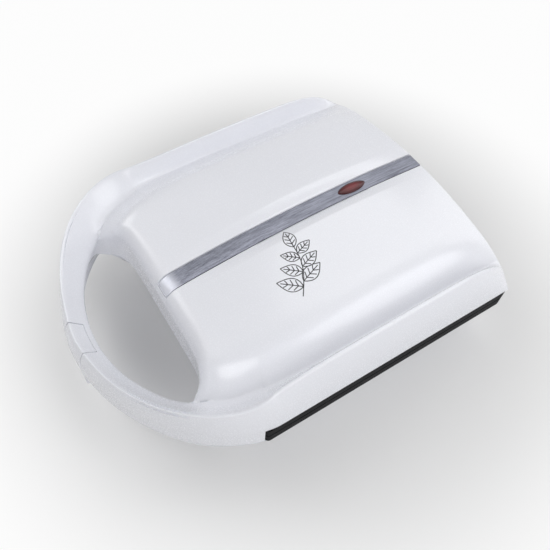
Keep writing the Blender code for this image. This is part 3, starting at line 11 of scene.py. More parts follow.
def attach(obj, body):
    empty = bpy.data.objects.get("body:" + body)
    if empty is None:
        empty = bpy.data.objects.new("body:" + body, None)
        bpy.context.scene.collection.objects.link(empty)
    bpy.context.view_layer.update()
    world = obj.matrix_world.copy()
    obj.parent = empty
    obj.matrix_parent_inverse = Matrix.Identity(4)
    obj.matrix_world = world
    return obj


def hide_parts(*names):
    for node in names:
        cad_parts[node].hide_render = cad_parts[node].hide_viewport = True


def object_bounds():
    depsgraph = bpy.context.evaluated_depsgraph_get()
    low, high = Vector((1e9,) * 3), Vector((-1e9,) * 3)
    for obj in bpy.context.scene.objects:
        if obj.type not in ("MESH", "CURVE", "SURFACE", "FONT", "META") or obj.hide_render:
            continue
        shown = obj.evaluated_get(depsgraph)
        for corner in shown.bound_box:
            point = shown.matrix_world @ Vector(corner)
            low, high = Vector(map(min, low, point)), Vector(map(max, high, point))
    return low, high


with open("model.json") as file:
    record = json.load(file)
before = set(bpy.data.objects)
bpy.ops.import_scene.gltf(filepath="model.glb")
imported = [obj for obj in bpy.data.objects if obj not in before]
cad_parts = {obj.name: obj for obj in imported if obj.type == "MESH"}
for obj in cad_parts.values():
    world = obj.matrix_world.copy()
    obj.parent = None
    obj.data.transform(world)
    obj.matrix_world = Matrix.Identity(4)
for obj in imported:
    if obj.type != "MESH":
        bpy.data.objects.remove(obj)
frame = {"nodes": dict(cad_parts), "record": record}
cadLow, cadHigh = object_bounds()
print("frame loaded:", len(frame["nodes"]), "nodes")

# Sizes that both shells share, in metres
cooker = {
    "halfWidth": (cadHigh.x - cadLow.x) / 2,
    "backY": 0.1379,
    "bowCornerY": -0.0566,
    "bowDepth": 0.0912,
    "bowRoundness": 1.75,        # 2 would be an ellipse
    "partingZ": 0.0380,
    "wall": 0.0024,
    "seam": 0.0004,
    "slotTop": 0.0173,           # top of the black strip, above the parting plane
    "plateFrontY": -0.0667,
    "shoulder": 1.355,           # place along the outline where the bow leaves the body
    "bowStart": 1.433,           # place where the handle has its full form
    "latchHalf": 0.0139,
    "rowBlur": 0.01,
    "footBlur": 0.02,
}
bothSides = (1, -1)
plastic = {"colour": (0.830, 0.840, 0.890), "flowShare": 0.992, "flowScale": 14, "roughness": 0.27,
           "grain": 0.000004, "grainScale": 1500, "coat": 0.35, "coatRoughness": 0.12}


# Materials
def newMaterial(name):
    made = bpy.data.materials.new(name)
    made.use_nodes = True
    return made, made.node_tree.nodes, made.node_tree.links, made.node_tree.nodes["Principled BSDF"]


def setInputs(node, values):
    for name, value in values.items():
        node.inputs[name].default_value = value
    return node


def addNoise(nodes, links, scale, stretch=(1, 1, 1), detail=4.0, roughness=0.55):
    place = nodes.new("ShaderNodeTexCoord")
    mapping = setInputs(nodes.new("ShaderNodeMapping"), {"Scale": stretch})
    noise = nodes.new("ShaderNodeTexNoise")
    setInputs(noise, {"Scale": scale, "Detail": detail, "Roughness": roughness})
    links.new(place.outputs["Object"], mapping.inputs["Vector"])
    links.new(mapping.outputs["Vector"], noise.inputs["Vector"])
    return noise.outputs["Fac"]


def addRamp(nodes, links, source, low, high, lowAt=0.3, highAt=0.7):
    ramp = nodes.new("ShaderNodeValToRGB")
    for stop, colour, at in zip(ramp.color_ramp.elements, (low, high), (lowAt, highAt)):
        stop.position = at
        stop.color = (*colour, 1)
    links.new(source, ramp.inputs["Fac"])
    return ramp.outputs["Color"]


def addRange(nodes, links, source, low, high, start=0.0, end=1.0, kind="LINEAR"):
    spread = nodes.new("ShaderNodeMapRange")
    spread.interpolation_type = kind
    setInputs(spread, {"From Min": start, "From Max": end, "To Min": low, "To Max": high})
    links.new(source, spread.inputs["Value"])
    return spread.outputs["Result"]


def addMath(nodes, links, operation, *values):
    # each value is a number or another node's output
    step = nodes.new("ShaderNodeMath")
    step.operation = operation
    for socket, value in zip(step.inputs, values):
        if isinstance(value, float):
            socket.default_value = value
        else:
            links.new(value, socket)
    return step.outputs[0]


def addBump(nodes, links, source, shader, distance):
    bump = setInputs(nodes.new("ShaderNodeBump"), {"Distance": distance, "Strength": 1.0})
    links.new(source, bump.inputs["Height"])
    links.new(bump.outputs["Normal"], shader.inputs["Normal"])


def speckled(name, colour, roughness, metallic=0.0, scale=900, shade=0.06, bump=0.00002, stretch=(1, 1, 1)):
    # colour and roughness vary a little with a fine noise
    made, nodes, links, shader = newMaterial(name)
    noise = addNoise(nodes, links, scale, stretch)
    dark = tuple(c * (1 - shade) for c in colour)
    light = tuple(min(1, c * (1 + shade)) for c in colour)
    links.new(addRamp(nodes, links, noise, dark, light), shader.inputs["Base Color"])
    links.new(addRange(nodes, links, noise, roughness * 0.85, roughness * 1.15), shader.inputs["Roughness"])
    shader.inputs["Metallic"].default_value = metallic
    addBump(nodes, links, noise, shader, bump)
    return made


def whitePlastic():
    made, nodes, links, shader = newMaterial("whitePlastic")
    base, roughness = plastic["colour"], plastic["roughness"]
    flow = addNoise(nodes, links, plastic["flowScale"], detail=2)
    dark = tuple(c * plastic["flowShare"] for c in base)
    links.new(addRamp(nodes, links, flow, dark, base), shader.inputs["Base Color"])
    grain = addNoise(nodes, links, plastic["grainScale"], detail=2)
    links.new(addRange(nodes, links, grain, roughness * 0.9, roughness * 1.1), shader.inputs["Roughness"])
    setInputs(shader, {"Coat Weight": plastic["coat"], "Coat Roughness": plastic["coatRoughness"]})
    addBump(nodes, links, grain, shader, plastic["grain"])
    return made


metal = {
    # the first colour is a painted highlight, lighter where the strip's front end bends over the edge, with
    # the y span it fades in over
    "paintedHighlight": (0.56, 0.57, 0.62), "paintedHighlightStartY": -0.0655, "paintedHighlightEndY": -0.0775,
    "dark": (0.085, 0.09, 0.115), "light": (0.27, 0.28, 0.33), "darkAt": 0.36, "lightAt": 0.64,
    "fineScale": 420, "fineShare": 0.55, "fineStretch": (9, 0.35, 9), "fineNoise": (6, 0.7),
    "broadScale": 60, "broadShare": 0.45, "broadStretch": (14, 0.5, 14), "broadNoise": (3, 0.5),
    "smoothest": 0.32, "roughest": 0.5, "metallic": 0.75, "anisotropic": 0.6, "relief": 0.00003,
}


def brushedMetal():
    # fine and broad streaks across the strip, and a painted highlight where its front end bends
    made, nodes, links, shader = newMaterial("brushedMetal")
    fine = addNoise(nodes, links, metal["fineScale"], metal["fineStretch"], *metal["fineNoise"])
    broad = addNoise(nodes, links, metal["broadScale"], metal["broadStretch"], *metal["broadNoise"])
    streaks = addMath(nodes, links, "MULTIPLY_ADD", fine, metal["fineShare"],
                      addMath(nodes, links, "MULTIPLY", broad, metal["broadShare"]))
    brushed = addRamp(nodes, links, streaks, metal["dark"], metal["light"], metal["darkAt"], metal["lightAt"])
    place = nodes.new("ShaderNodeTexCoord")
    split = nodes.new("ShaderNodeSeparateXYZ")
    links.new(place.outputs["Object"], split.inputs[0])
    # painted highlight: the colour turns lighter towards the strip's bent front end
    paintedHighlight = addRange(nodes, links, split.outputs["Y"], 1, 0, metal["paintedHighlightEndY"], metal["paintedHighlightStartY"])
    blend = nodes.new("ShaderNodeMix")
    blend.data_type = "RGBA"
    blend.inputs["B"].default_value = (*metal["paintedHighlight"], 1)
    links.new(paintedHighlight, blend.inputs["Factor"])
    links.new(brushed, blend.inputs["A"])
    links.new(blend.outputs["Result"], shader.inputs["Base Color"])
    roughness = addRange(nodes, links, fine, metal["smoothest"], metal["roughest"])
    links.new(roughness, shader.inputs["Roughness"])
    setInputs(shader, {"Metallic": metal["metallic"], "Anisotropic": metal["anisotropic"]})
    addBump(nodes, links, streaks, shader, metal["relief"])
    return made


def blackCoating():
    made = speckled("blackCasting", (0.005, 0.005, 0.006), 0.55, 0.0, 2200, 0.35, 0.00002)
    made.node_tree.nodes["Principled BSDF"].inputs["Specular IOR Level"].default_value = 0.06
    return made


redClear = {"edge": (0.050, 0.001, 0.003), "middle": (0.17, 0.014, 0.018), "edgeAt": 0.12, "middleAt": 0.75,
            "surface": {"Roughness": 0.16, "Specular IOR Level": 0.25, "Coat Weight": 0.12,
                        "Coat Roughness": 0.04}}


def redLens():
    made, nodes, links, shader = newMaterial("redLens")
    rim = nodes.new("ShaderNodeAttribute")
    rim.attribute_name = "middle"
    red = addRamp(nodes, links, rim.outputs["Fac"], redClear["edge"], redClear["middle"], redClear["edgeAt"],
                  redClear["middleAt"])
    links.new(red, shader.inputs["Base Color"])
    setInputs(shader, redClear["surface"])
    return made


finish = {
    "white_plastic": whitePlastic(),
    "black_casting": blackCoating(),
    "brushed_trim": brushedMetal(),
    "red_lens": redLens(),
    "ceramic": speckled("ceramic", (0.80, 0.77, 0.70), 0.45, 0.0, 700),
    "dark_rubber": speckled("darkRubber", (0.035, 0.035, 0.036), 0.8, 0.0, 1600, 0.2),
    "lead_cover": speckled("leadCover", (0.42, 0.39, 0.34), 0.75, 0.0, 2400, 0.3, 0.00006),
    "zinc_steel": speckled("zincSteel", (0.58, 0.58, 0.60), 0.33, 1.0, 500, 0.12),
    "element_sheath": speckled("elementSheath", (0.24, 0.22, 0.20), 0.5, 0.9, 300, 0.25),
    "aluminium_sheet": speckled("aluminiumSheet", (0.72, 0.73, 0.75), 0.34, 1.0, 260, 0.08,
                                stretch=(6, 0.5, 6)),
}
slotOfNode = {row["node"]: row["material_slot"] for row in frame["record"]["subparts"]}
for node, item in frame["nodes"].items():
    item.data.materials.clear()
    item.data.materials.append(finish[slotOfNode[node]])
print("materials made")


# Mesh helpers
def sceneObject(name, data):
    item = bpy.data.objects.new(name, data)
    bpy.context.scene.collection.objects.link(item)
    return item


def plainObject(name, points, faces, edges=()):
    mesh = bpy.data.meshes.new(name)
    mesh.from_pydata([tuple(map(float, p)) for p in points], list(edges), [tuple(map(int, f)) for f in faces])
    return sceneObject(name, mesh)


def bmeshObject(name, bm):
    mesh = bpy.data.meshes.new(name)
    bm.to_mesh(mesh)
    bm.free()
    return sceneObject(name, mesh)


def dress(item, slot, body, smoothDegrees, replaced=()):
    item.data.materials.clear()
    item.data.materials.append(finish[slot])
    item.data.shade_smooth()
    item.data.set_sharp_from_angle(angle=math.radians(smoothDegrees))
    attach(item, body)
    if replaced:
        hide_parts(*replaced)
    return item


def outward(item, mergeReach=0.000002, sliver=0.0000005):
    # a clean mesh: doubles merged, slivers and loose edges gone, faces turned outward
    bm = bmesh.new()
    bm.from_mesh(item.data)
    bmesh.ops.remove_doubles(bm, verts=bm.verts, dist=mergeReach)
    bmesh.ops.dissolve_degenerate(bm, edges=bm.edges, dist=sliver)
    bmesh.ops.delete(bm, geom=[edge for edge in bm.edges if not edge.link_faces], context="EDGES")
    bmesh.ops.recalc_face_normals(bm, faces=bm.faces)
    bm.to_mesh(item.data)
    bm.free()


def settle(item):
    # bake an object's modifiers into its mesh
    bpy.context.view_layer.update()
    graph = bpy.context.evaluated_depsgraph_get()
    made = bpy.data.meshes.new_from_object(item.evaluated_get(graph))
    item.modifiers.clear()
    item.data = made
    return item


def cutBy(item, cutters):
    for cutter in cutters:
        step = item.modifiers.new("cut", "BOOLEAN")
        step.operation = "DIFFERENCE"
        step.solver = "MANIFOLD"
        step.object = cutter
    settle(item)
    for cutter in cutters:
        bpy.data.objects.remove(cutter)
    return item


def merge(name, items):
    # one mesh of several objects' meshes, each kept as its own closed body
    bm = bmesh.new()
    for item in items:
        bm.from_mesh(item.data)
        bpy.data.objects.remove(item)
    return bmeshObject(name, bm)


def betweenLoops(name, first, second):
    # a closed body between two loops of equally many points
    count = len(first)
    faces = [tuple(range(count)), tuple(range(2 * count - 1, count - 1, -1))]
    faces += [(i, count + i, count + (i + 1) % count, (i + 1) % count) for i in range(count)]
    item = plainObject(name, first + second, faces)
    outward(item)
    return item


def ringFaces(rows, count, first=0):
    # quads between closed rings of points that are listed ring after ring
    faces = []
    for row in range(rows - 1):
        for k in range(count):
            a, b = first + row * count + k, first + row * count + (k + 1) % count
            faces.append((a, b, b + count, a + count))
    return faces


def bentRun(controls, samples):
    # smooth run through control points (..., k, n), rounded at each inner one
    parts = []
    count = controls.shape[-2]
    t = np.linspace(0, 1, samples, endpoint=False)[:, None]
    for i in range(1, count - 1):
        here = controls[..., i:i + 1, :]
        start = controls[..., i - 1:i, :] if i == 1 else (controls[..., i - 1:i, :] + here) / 2
        end = controls[..., i + 1:i + 2, :] if i == count - 2 else (here + controls[..., i + 1:i + 2, :]) / 2
        parts.append(start * (1 - t) ** 2 + here * 2 * t * (1 - t) + end * t ** 2)
    parts.append(controls[..., -1:, :])
    return np.concatenate(parts, axis=-2)


def softRead(table, place, blur=0.09):
    # a table of (place, share) pairs, read with its corners rounded off
    xs, ys = zip(*table)
    taps = np.linspace(-1, 1, 11)
    weights = 1 + np.cos(taps * math.pi)
    at = np.asarray(place, float)[..., None] + blur * taps
    at = np.where(at > 2, 4 - at, at)
    return (np.interp(at, xs, ys) * weights).sum(-1) / weights.sum()


def outline(place):
    # outline point and inward direction at a place: 0 at the back, 1 at the corner, 2 at the bow's front
    place = np.asarray(place, float)
    angle = math.pi / 2 * np.clip(place - 1, 0, 1)
    power = 2 / cooker["bowRoundness"]
    across = np.maximum(np.cos(angle), 0) ** power
    forward = np.sin(angle) ** power
    slope = cooker["bowRoundness"] - 1
    straight = cooker["backY"] + (cooker["bowCornerY"] - cooker["backY"]) * place
    y = np.where(place <= 1, straight, cooker["bowCornerY"] - cooker["bowDepth"] * forward)
    inward = np.stack([-across ** slope / cooker["halfWidth"], forward ** slope / cooker["bowDepth"]], -1)
    inward /= np.linalg.norm(inward, axis=-1, keepdims=True)
    return np.stack([cooker["halfWidth"] * across, y], -1), inward


# Lid and base skins
lid = {
    "ridgeHeight": 0.05075, "ridgeDrop": 0.0029, "ridgeInset": 0.0109,
    "bandHeight": 0.0518, "bandDrop": 0.00499,
    "edgeHeight": 0.0492, "edgeDrop": 0.0034,
    "crestRise": 0.0036, "crestX": 0.0155, "swell": 0.0008, "scoopHollow": 0.0030,
    "rearHeight": 0.0505, "rearRound": 0.0022,
    "crownY": 0.0865, "crownReach": 0.100,
    "dip": 0.0095, "dipY": -0.1056, "dipReach": 0.0365,
    "channel": 0.0179, "lipRound": 0.0022,
    "frontY": -0.0696, "holeY": -0.0816, "holeSweep": 0.0150, "holeHalf": 0.0745, "draft": 0.0008,
    "frontSlope": 9.5, "frontShare": 0.33, "tubStep": 0.0016, "cornerSpread": 4,
    "grooveHalf": 0.0068, "grooveDepth": 0.0015, "grooveLip": 0.0004,
    "archReach": 0.35, "archPower": 3.5, "archShares": (0.69, -0.28, 0.59),
    "slotLedge": 0.001, "slotFade": 0.012, "slotShare": 0.42, "holePower": 7,
    "levelTo": 1.45, "levelRun": 0.12, "levelEnd": 0.0006, "slopeEnd": 0.0004,
    "crestHalf": 0.0006, "crestShares": (0.62, 0.07), "edgeAt": 0.80, "edgeBend": 0.0015,
    "scoopAt": 0.885, "footAt": 0.972, "footRise": 0.10,
}
# the rim's wall, as shares of the ridge's inset and height, then the slope behind the ridge: the share of
# the way and the share of the drop that is left, each with what the handle's slope adds
wallShares = ((0, 0.46), (0.10, 0.62), (0.42, 0.84), (0.86, 0.985), (1.04, 1.008))
ridgeBehind = {"run": 0.16, "fall": 0.07, "steeper": 0.05}
slopeShares = ((0.70, 0.16, 0.13, 0.33), (0.93, 0.07, 0, 0.17))
# the band beside the strip: the share of the way, then the weights of crest and edge
bandShares = ((0.33, 0.6, 0.4), (0.70, 0.27, 0.73))
insetTable = ((0, 1), (0.81, 1), (0.915, 0.97), (1, 0.87), (1.09, 0.64), (1.18, 0.41), (1.27, 0.26),
              (1.355, 0.18), (1.433, 0.15), (1.51, 0.15), (1.59, 0.2), (1.667, 0.28), (1.745, 0.37),
              (1.82, 0.46), (1.9, 0.5), (2, 0.52))
channelTable = ((0, 1.006), (0.66, 1.006), (0.81, 1.02), (0.915, 1.09), (1, 1.2), (1.09, 1.28), (1.18, 1.2),
                (1.27, 1.09), (1.355, 1.03), (1.433, 0.98), (1.51, 0.91), (1.667, 0.9), (1.745, 0.89),
                (1.82, 0.93), (1.9, 0.955), (2, 1))
valleyTable = ((0, 0.715), (0.81, 0.71), (1, 0.72), (1.09, 0.7), (1.18, 0.67), (1.27, 0.665), (1.355, 0.66),
               (1.433, 0.47), (1.51, 0.46), (1.59, 0.48), (1.667, 0.51), (1.745, 0.535), (1.82, 0.56),
               (1.9, 0.575), (2, 0.585))
crestTable = ((0, 0), (0.056, 0.15), (0.128, 0.35), (0.22, 0.6), (0.35, 0.85), (0.5, 1), (0.66, 0.85),
              (0.81, 0.57), (0.915, 0.45), (1, 0.35), (1.09, 0.28), (1.18, 0.22), (1.27, 0.17), (1.355, 0.12))
# the handle's width at the parting plane
footTable = ((1.355, 0.0159), (1.433, 0.0104), (1.485, 0.0099), (1.557, 0.0108), (1.639, 0.0117),
             (1.719, 0.0132), (1.8, 0.0148), (1.9, 0.0162), (2, 0.0164))
rowTable = ((0, 0), (0.056, 0.052), (0.128, 0.12), (0.22, 0.206), (0.35, 0.328), (0.5, 0.469), (0.66, 0.618),
            (0.81, 0.761), (0.915, 0.838), (1, 0.891), (1.09, 0.925), (1.18, 0.954), (1.27, 0.978),
            (1.355, 1))


def crown(y, top, drop):
    return top - drop * ((y - lid["crownY"]) / lid["crownReach"]) ** 2


def ridgeHeight(y):
    dip = np.maximum(0, lid["dipY"] - y) / lid["dipReach"]
    return crown(y, lid["ridgeHeight"], lid["ridgeDrop"]) - lid["dip"] * dip ** 2


def rearArch(x):
    share = np.minimum(1, (x / cooker["halfWidth"]) ** 2)
    low = cooker["slotTop"] + lid["slotLedge"]
    first, second, fourth = lid["archShares"]
    fall = first * share + second * share ** 2 + fourth * share ** 4
    return lid["rearHeight"] - (lid["rearHeight"] - low) * fall


def archShare(place):
    return np.maximum(0, 1 - np.asarray(place, float) / lid["archReach"]) ** lid["archPower"]


def placeAtY(y):
    # place on the bow where the outline reaches a y
    forward = (cooker["bowCornerY"] - y) / cooker["bowDepth"]
    return 1 + math.asin(forward ** (cooker["bowRoundness"] / 2)) / (math.pi / 2)


def placeAtX(x):
    across = x / cooker["halfWidth"]
    return 1 + math.acos(across ** (cooker["bowRoundness"] / 2)) / (math.pi / 2)


slotPlace = placeAtY(cooker["plateFrontY"] - cooker["seam"])
notchPlace = placeAtX(cooker["latchHalf"] + cooker["seam"])
rearRun = lid["rearRound"] / (cooker["backY"] - cooker["bowCornerY"])
stretches = ((rearRun, 1, 64), (1, slotPlace, 9), (slotPlace, cooker["shoulder"], 24),
             (cooker["shoulder"], cooker["bowStart"], 9), (cooker["bowStart"], notchPlace, 50),
             (notchPlace, 2, 10))
places = np.concatenate([rearRun * (1 - np.cos(np.linspace(0, math.pi / 2, 7)))]
                        + [np.linspace(start, end, count)[1:] for start, end, count in stretches])


def stationAt(place):
    return int(np.argmin(abs(places - place)))


shoulderAt = stationAt(cooker["shoulder"])
slotAt = stationAt(slotPlace)
notchAt = stationAt(notchPlace)
bowAt = stationAt(cooker["bowStart"])
wallSteps = 5           # samples along each control of a section
frontSteps = 20         # rows round the plateau's front edge
grooveColumns = 5       # columns of points from the groove's middle to its side
grooveEnd = 11          # the row where the strip's groove stops
slotRow = 3             # row of the section that lies on top of the slot
latchRowShare = 0.77    # how far down the handle's slope the latch reaches


def lidRim(place):
    # rim section of the lid, from its rim over the ridge to the valley: (inset, height) at each place
    point, inward = outline(place)
    inset = lid["ridgeInset"] * softRead(insetTable, place)
    width = lid["channel"] * softRead(channelTable, place)
    top = ridgeHeight(point[:, 1] + inward[:, 1] * inset)
    low = top * softRead(valleyTable, place)
    flat = np.clip((lid["levelTo"] - place) / lid["levelRun"], 0, 1)
    slope = 1 - flat             # the body's valley is level, the handle's slope isn't
    run = width - inset
    drop = top - low
    rows = [(share * inset, rise * top) for share, rise in wallShares]
    fall = ridgeBehind["fall"] + ridgeBehind["steeper"] * slope
    rows.append((inset + ridgeBehind["run"] * run, top - fall * drop))
    for share, sooner, left, more in slopeShares:
        rows.append((inset + (share - sooner * slope) * run, low + (left + more * slope) * drop))
    rows += [(width - lid["levelEnd"] * flat, low),
             (width - lid["slopeEnd"] * slope, low - lid["lipRound"] * slope)]
    controls = np.stack([np.stack(row, -1) for row in rows], 1)
    upper = bentRun(controls, wallSteps)
    rim = np.full(len(place), cooker["seam"])
    slotEdge = np.minimum(cooker["slotTop"], lid["slotShare"] * top)
    lower = [np.stack([0 * inset, rim + (slotEdge - rim) * s], -1) for s in np.linspace(0, 1, slotRow + 1)]
    return np.concatenate([np.stack(lower, 1), upper], 1)


def centreLine(place, frontY):
    # where each row crosses the middle of the body
    y = cooker["backY"] + (frontY - cooker["backY"]) * softRead(rowTable, place, cooker["rowBlur"])
    y[0] = cooker["backY"]
    return y


def lidRow(place, end):
    # half a row across the plateau, from the groove's middle to the valley
    centreY = centreLine(place, lid["frontY"])
    centreY[shoulderAt] = lid["frontY"]
    endX, endY, low = end
    crest = lid["crestRise"] * softRead(crestTable, place)
    middle = crown(centreY, lid["bandHeight"], lid["bandDrop"])

    def rowY(x):
        return centreY + (endY - centreY) * (x / endX) ** 4

    def node(x, h):
        return np.stack([x, rowY(x), h], -1)

    start = 0 * endX + lid["grooveHalf"] + lid["grooveLip"]
    edgeX = endX * lid["edgeAt"]
    edge = crown(rowY(edgeX), lid["edgeHeight"], lid["edgeDrop"])
    crestX = 0 * endX + lid["crestX"]
    span = edgeX - crestX
    top = middle + crest
    halfUp, nearTop = lid["crestShares"]
    controls = [node(start, middle), node(start * 0.5 + crestX * 0.5, middle + crest * halfUp),
                node(crestX - lid["crestHalf"], top - crest * nearTop), node(crestX + lid["crestHalf"], top)]
    controls += [node(crestX + span * share, top * a + edge * b + lid["swell"]) for share, a, b in bandShares]
    controls += [node(edgeX - lid["edgeBend"], edge),
                 node(endX * lid["scoopAt"], (edge + low) / 2 - lid["scoopHollow"] * 0.5),
                 node(endX * lid["footAt"], low + (edge - low) * lid["footRise"]), node(endX, low)]
    run = bentRun(np.stack(controls, 1), wallSteps)
    floor = [node(0 * endX + x, middle - lid["grooveDepth"])
             for x in np.linspace(0, lid["grooveHalf"], grooveColumns)]
    return np.concatenate([np.stack(floor, 1), run], 1)


def frontRound(steps):
    # (run, fall) round the plateau's front edge, which starts at the crown's own slope
    turn = np.radians(np.linspace(lid["frontSlope"], 90, steps))
    first = turn[0]
    run = (np.sin(turn) - math.sin(first)) / (1 - math.sin(first))
    return run, 1 - lid["frontShare"] * (math.cos(first) - np.cos(turn)) / math.cos(first)


def frontFall(steps, downSteps=5):
    # the round edge, then straight down
    roundRun, roundFall = frontRound(steps)
    down = np.linspace(1, 0, downSteps + 1)[1:]
    return np.concatenate([roundRun, np.ones(downSteps)]), np.concatenate([roundFall, roundFall[-1] * down])


def footWidth(place):
    return softRead(footTable, place, cooker["footBlur"])


def rearEdge(y, h):
    # the rear edge of the lid is rounded over, less so where it runs down to the slot
    inside = np.clip((y - (cooker["backY"] - lid["rearRound"])) / lid["rearRound"], 0, 1)
    fade = np.clip((h - cooker["slotTop"]) / lid["slotFade"], 0, 1)
    return h - lid["rearRound"] * fade * (1 - np.sqrt(1 - inside ** 2))


def buildSkin(rim, row, fall, floorLevel, openSlot, openNotch, isBase):
    # one shell's outer skin, mirrored about the middle; heights are above the parting plane
    points = []
    keys = {}
    faces = []
    point, inward = outline(places)
    section = rim(places)
    count = section.shape[1]
    end = (*(point + inward * section[:, -1, :1]).T, section[:, -1, 1])
    across = row(places[:shoulderAt + 1], tuple(e[:shoulderAt + 1] for e in end))
    width = across.shape[1]
    last = len(places) - 1
    arched = archShare(places)

    def add(key, x, y, h):
        if key not in keys:
            keys[key] = len(points)
            points.append((x, y, cooker["partingZ"] + h))
        return keys[key]

    def rail(side, i, j):
        return keys[("rail", 1 if i == last else side, i, j)]

    def cell(side, i, c):
        if c == width - 1:
            return rail(side, i, count - 1)
        return keys[("row", 1 if c == 0 else side, i, c)]

    def lidHeight(i, x, y, h, groove=0):
        # towards the back the lid follows the rear arch
        return rearEdge(y, h * (1 - arched[i]) + (rearArch(x) - groove) * arched[i])

    def patch(at, side, i, j):
        faces.append((at(side, i, j), at(side, i + 1, j), at(side, i + 1, j + 1), at(side, i, j + 1)))

    for side in bothSides:
        for i in range(last + 1):
            for j in range(count):
                d, h = section[i, j]
                x, y = point[i] + inward[i] * d
                if not isBase and j > slotRow:
                    h = lidHeight(i, x, y, h)
                add(("rail", 1 if i == last else side, i, j), side * x, y, h)
    for side in bothSides:
        for i in range(last):
            for j in range(count - 1):
                if not (openSlot and i < slotAt and j < slotRow) and not openNotch(i, j, count):
                    patch(rail, side, i, j)
    for side in bothSides:
        for i in range(shoulderAt + 1):
            for c in range(width - 1):
                x, y, h = across[i, c]
                if not isBase:
                    h = lidHeight(i, x, y, h, lid["grooveDepth"] if c < grooveColumns else 0)
                add(("row", 1 if c == 0 else side, i, c), side * x, y, h)
    for side in bothSides:
        for i in range(shoulderAt):
            for c in range(width - 1):
                patch(cell, side, i, c)
    runs, falls = fall
    floorRow = len(runs) - 1
    step = lid["tubStep"] if isBase else 0
    spread = lid["cornerSpread"]
    feetOfBow = point + inward * (footWidth(places) - (lid["draft"] if isBase else 0))[:, None]
    for side in bothSides:
        mirror = np.array((side, 1))
        heads = [cell(side, shoulderAt, c) for c in range(width)]
        feet = []
        for head in heads:
            top = points[head]
            share = abs(top[0]) / end[0][shoulderAt]
            feet.append((side * (abs(top[0]) + (lid["holeHalf"] - end[0][shoulderAt]) * share ** 3),
                         lid["holeY"] + step - (lid["holeSweep"] - step) * share ** lid["holePower"]))
        corner, bowFoot = np.array(feet[-1]), feetOfBow[bowAt] * mirror
        for i in range(shoulderAt + 1, last + 1):
            foot = feetOfBow[i] * mirror
            if i < bowAt:
                foot = corner + (bowFoot - corner) * ((i - shoulderAt) / (bowAt - shoulderAt))
            heads.append(rail(side, i, count - 1))
            feet.append(foot)
        sharp = np.array(feet)
        for n in range(width - spread, width + bowAt - shoulderAt + spread):
            feet[n] = sharp[n - spread:n + spread + 1].mean(0)
        columns = []
        for n, (head, foot) in enumerate(zip(heads, feet)):
            top = np.array(points[head])
            rise = top[2] - cooker["partingZ"]
            column = [head]
            for r in range(1, floorRow + 1):
                x, y = top[:2] + (foot - top[:2]) * runs[r]
                h = rise * falls[r] + lid["grooveDepth"] * (n < grooveColumns and r > grooveEnd)
                key = ("hole", 1 if n in (0, len(heads) - 1) else side, n, r)
                column.append(add(key, x, y, h if r < floorRow else floorLevel))
            columns.append(column)
        for first, second in zip(columns, columns[1:]):
            for r in range(floorRow):
                faces.append((first[r], second[r], second[r + 1], first[r + 1]))
    start = slotRow if openSlot else 0
    rear = [rail(1, 0, j) for j in range(start, count)]
    rear += [cell(1, 0, c) for c in range(width - 2, -1, -1)]
    rear += [cell(-1, 0, c) for c in range(1, width - 1)]
    rear += [rail(-1, 0, j) for j in range(count - 1, start - 1, -1)]
    faces.append(tuple(rear))
    return points, faces


def lidNotch(i, j, count):
    # the latch takes the place of the lid's outer wall and ridge at the bow's front
    return i >= notchAt and j < slotRow + 1 + int((count - slotRow - 2) * latchRowShare)


def makeThick(item, wall):
    step = item.modifiers.new("wall", "SOLIDIFY")
    step.thickness = wall
    step.offset = -1
    step.use_rim = True
    return settle(item)


def levelRim(item, z, side):
    # a shell's rim ends level at the parting plane; side 1 keeps what is above it, -1 what is below
    for vert in item.data.vertices:
        vert.co.z = side * max(side * vert.co.z, side * z)
    item.data.update()


def prismObject(name, profile, low, high):
    # a closed (y, z) profile, extruded from low to high along X
    return betweenLoops(name, [(low, y, z) for y, z in profile], [(high, y, z) for y, z in profile])


def soften(item, width, segments=2, degrees=40):
    step = item.modifiers.new("edges", "BEVEL")
    step.width = width
    step.segments = segments
    step.limit_method = "ANGLE"
    step.angle_limit = math.radians(degrees)
    return settle(item)


def arcPoints(centre, radius, start, end, steps):
    return [(centre[0] + radius * math.cos(a), centre[1] + radius * math.sin(a))
            for a in np.radians(np.linspace(start, end, steps + 1))]


hinge = {
    "y": 0.1431, "z": 0.0467, "radius": 0.0047, "x": 0.0700, "width": 0.0112, "gap": 0.0004, "arcSteps": 20,
    "armHeight": 0.0210, "armTop": 0.0050, "armRise": 0.001, "armRound": 0.0006,
    "ear": 0.0060, "earDrop": 0.0105, "earLap": 0.0012, "earStep": 0.001, "earRound": 0.0005,
}


def hingeArm(side):
    y, z, radius = hinge["y"], hinge["z"], hinge["radius"]
    low = cooker["partingZ"] + cooker["slotTop"] + hinge["armRise"]
    inside = cooker["backY"] - cooker["wall"] / 2
    profile = arcPoints((y, z), radius, 0, -180, hinge["arcSteps"])
    profile += [(y - radius, low), (inside, low), (inside, z + hinge["armHeight"]),
                (cooker["backY"] + hinge["armTop"], z + hinge["armHeight"]), (y + radius, low)]
    middle, half = side * hinge["x"], hinge["width"] / 2
    return soften(prismObject("arm", profile, middle - half, middle + half), hinge["armRound"])


def hingeEar(side, way):
    y, z, radius = hinge["y"], hinge["z"], hinge["radius"]
    inside, high = cooker["backY"] - hinge["earLap"], cooker["partingZ"] - hinge["earStep"]
    low = cooker["partingZ"] - hinge["earDrop"]
    profile = arcPoints((y, z), radius, 0, 180, hinge["arcSteps"])
    profile += [(y - radius, high), (inside, high), (inside, low), (cooker["backY"], low),
                (y + radius, cooker["partingZ"])]
    near = side * hinge["x"] + way * (hinge["width"] / 2 + hinge["gap"])
    return soften(prismObject("ear", profile, *sorted((near, near + way * hinge["ear"]))), hinge["earRound"])


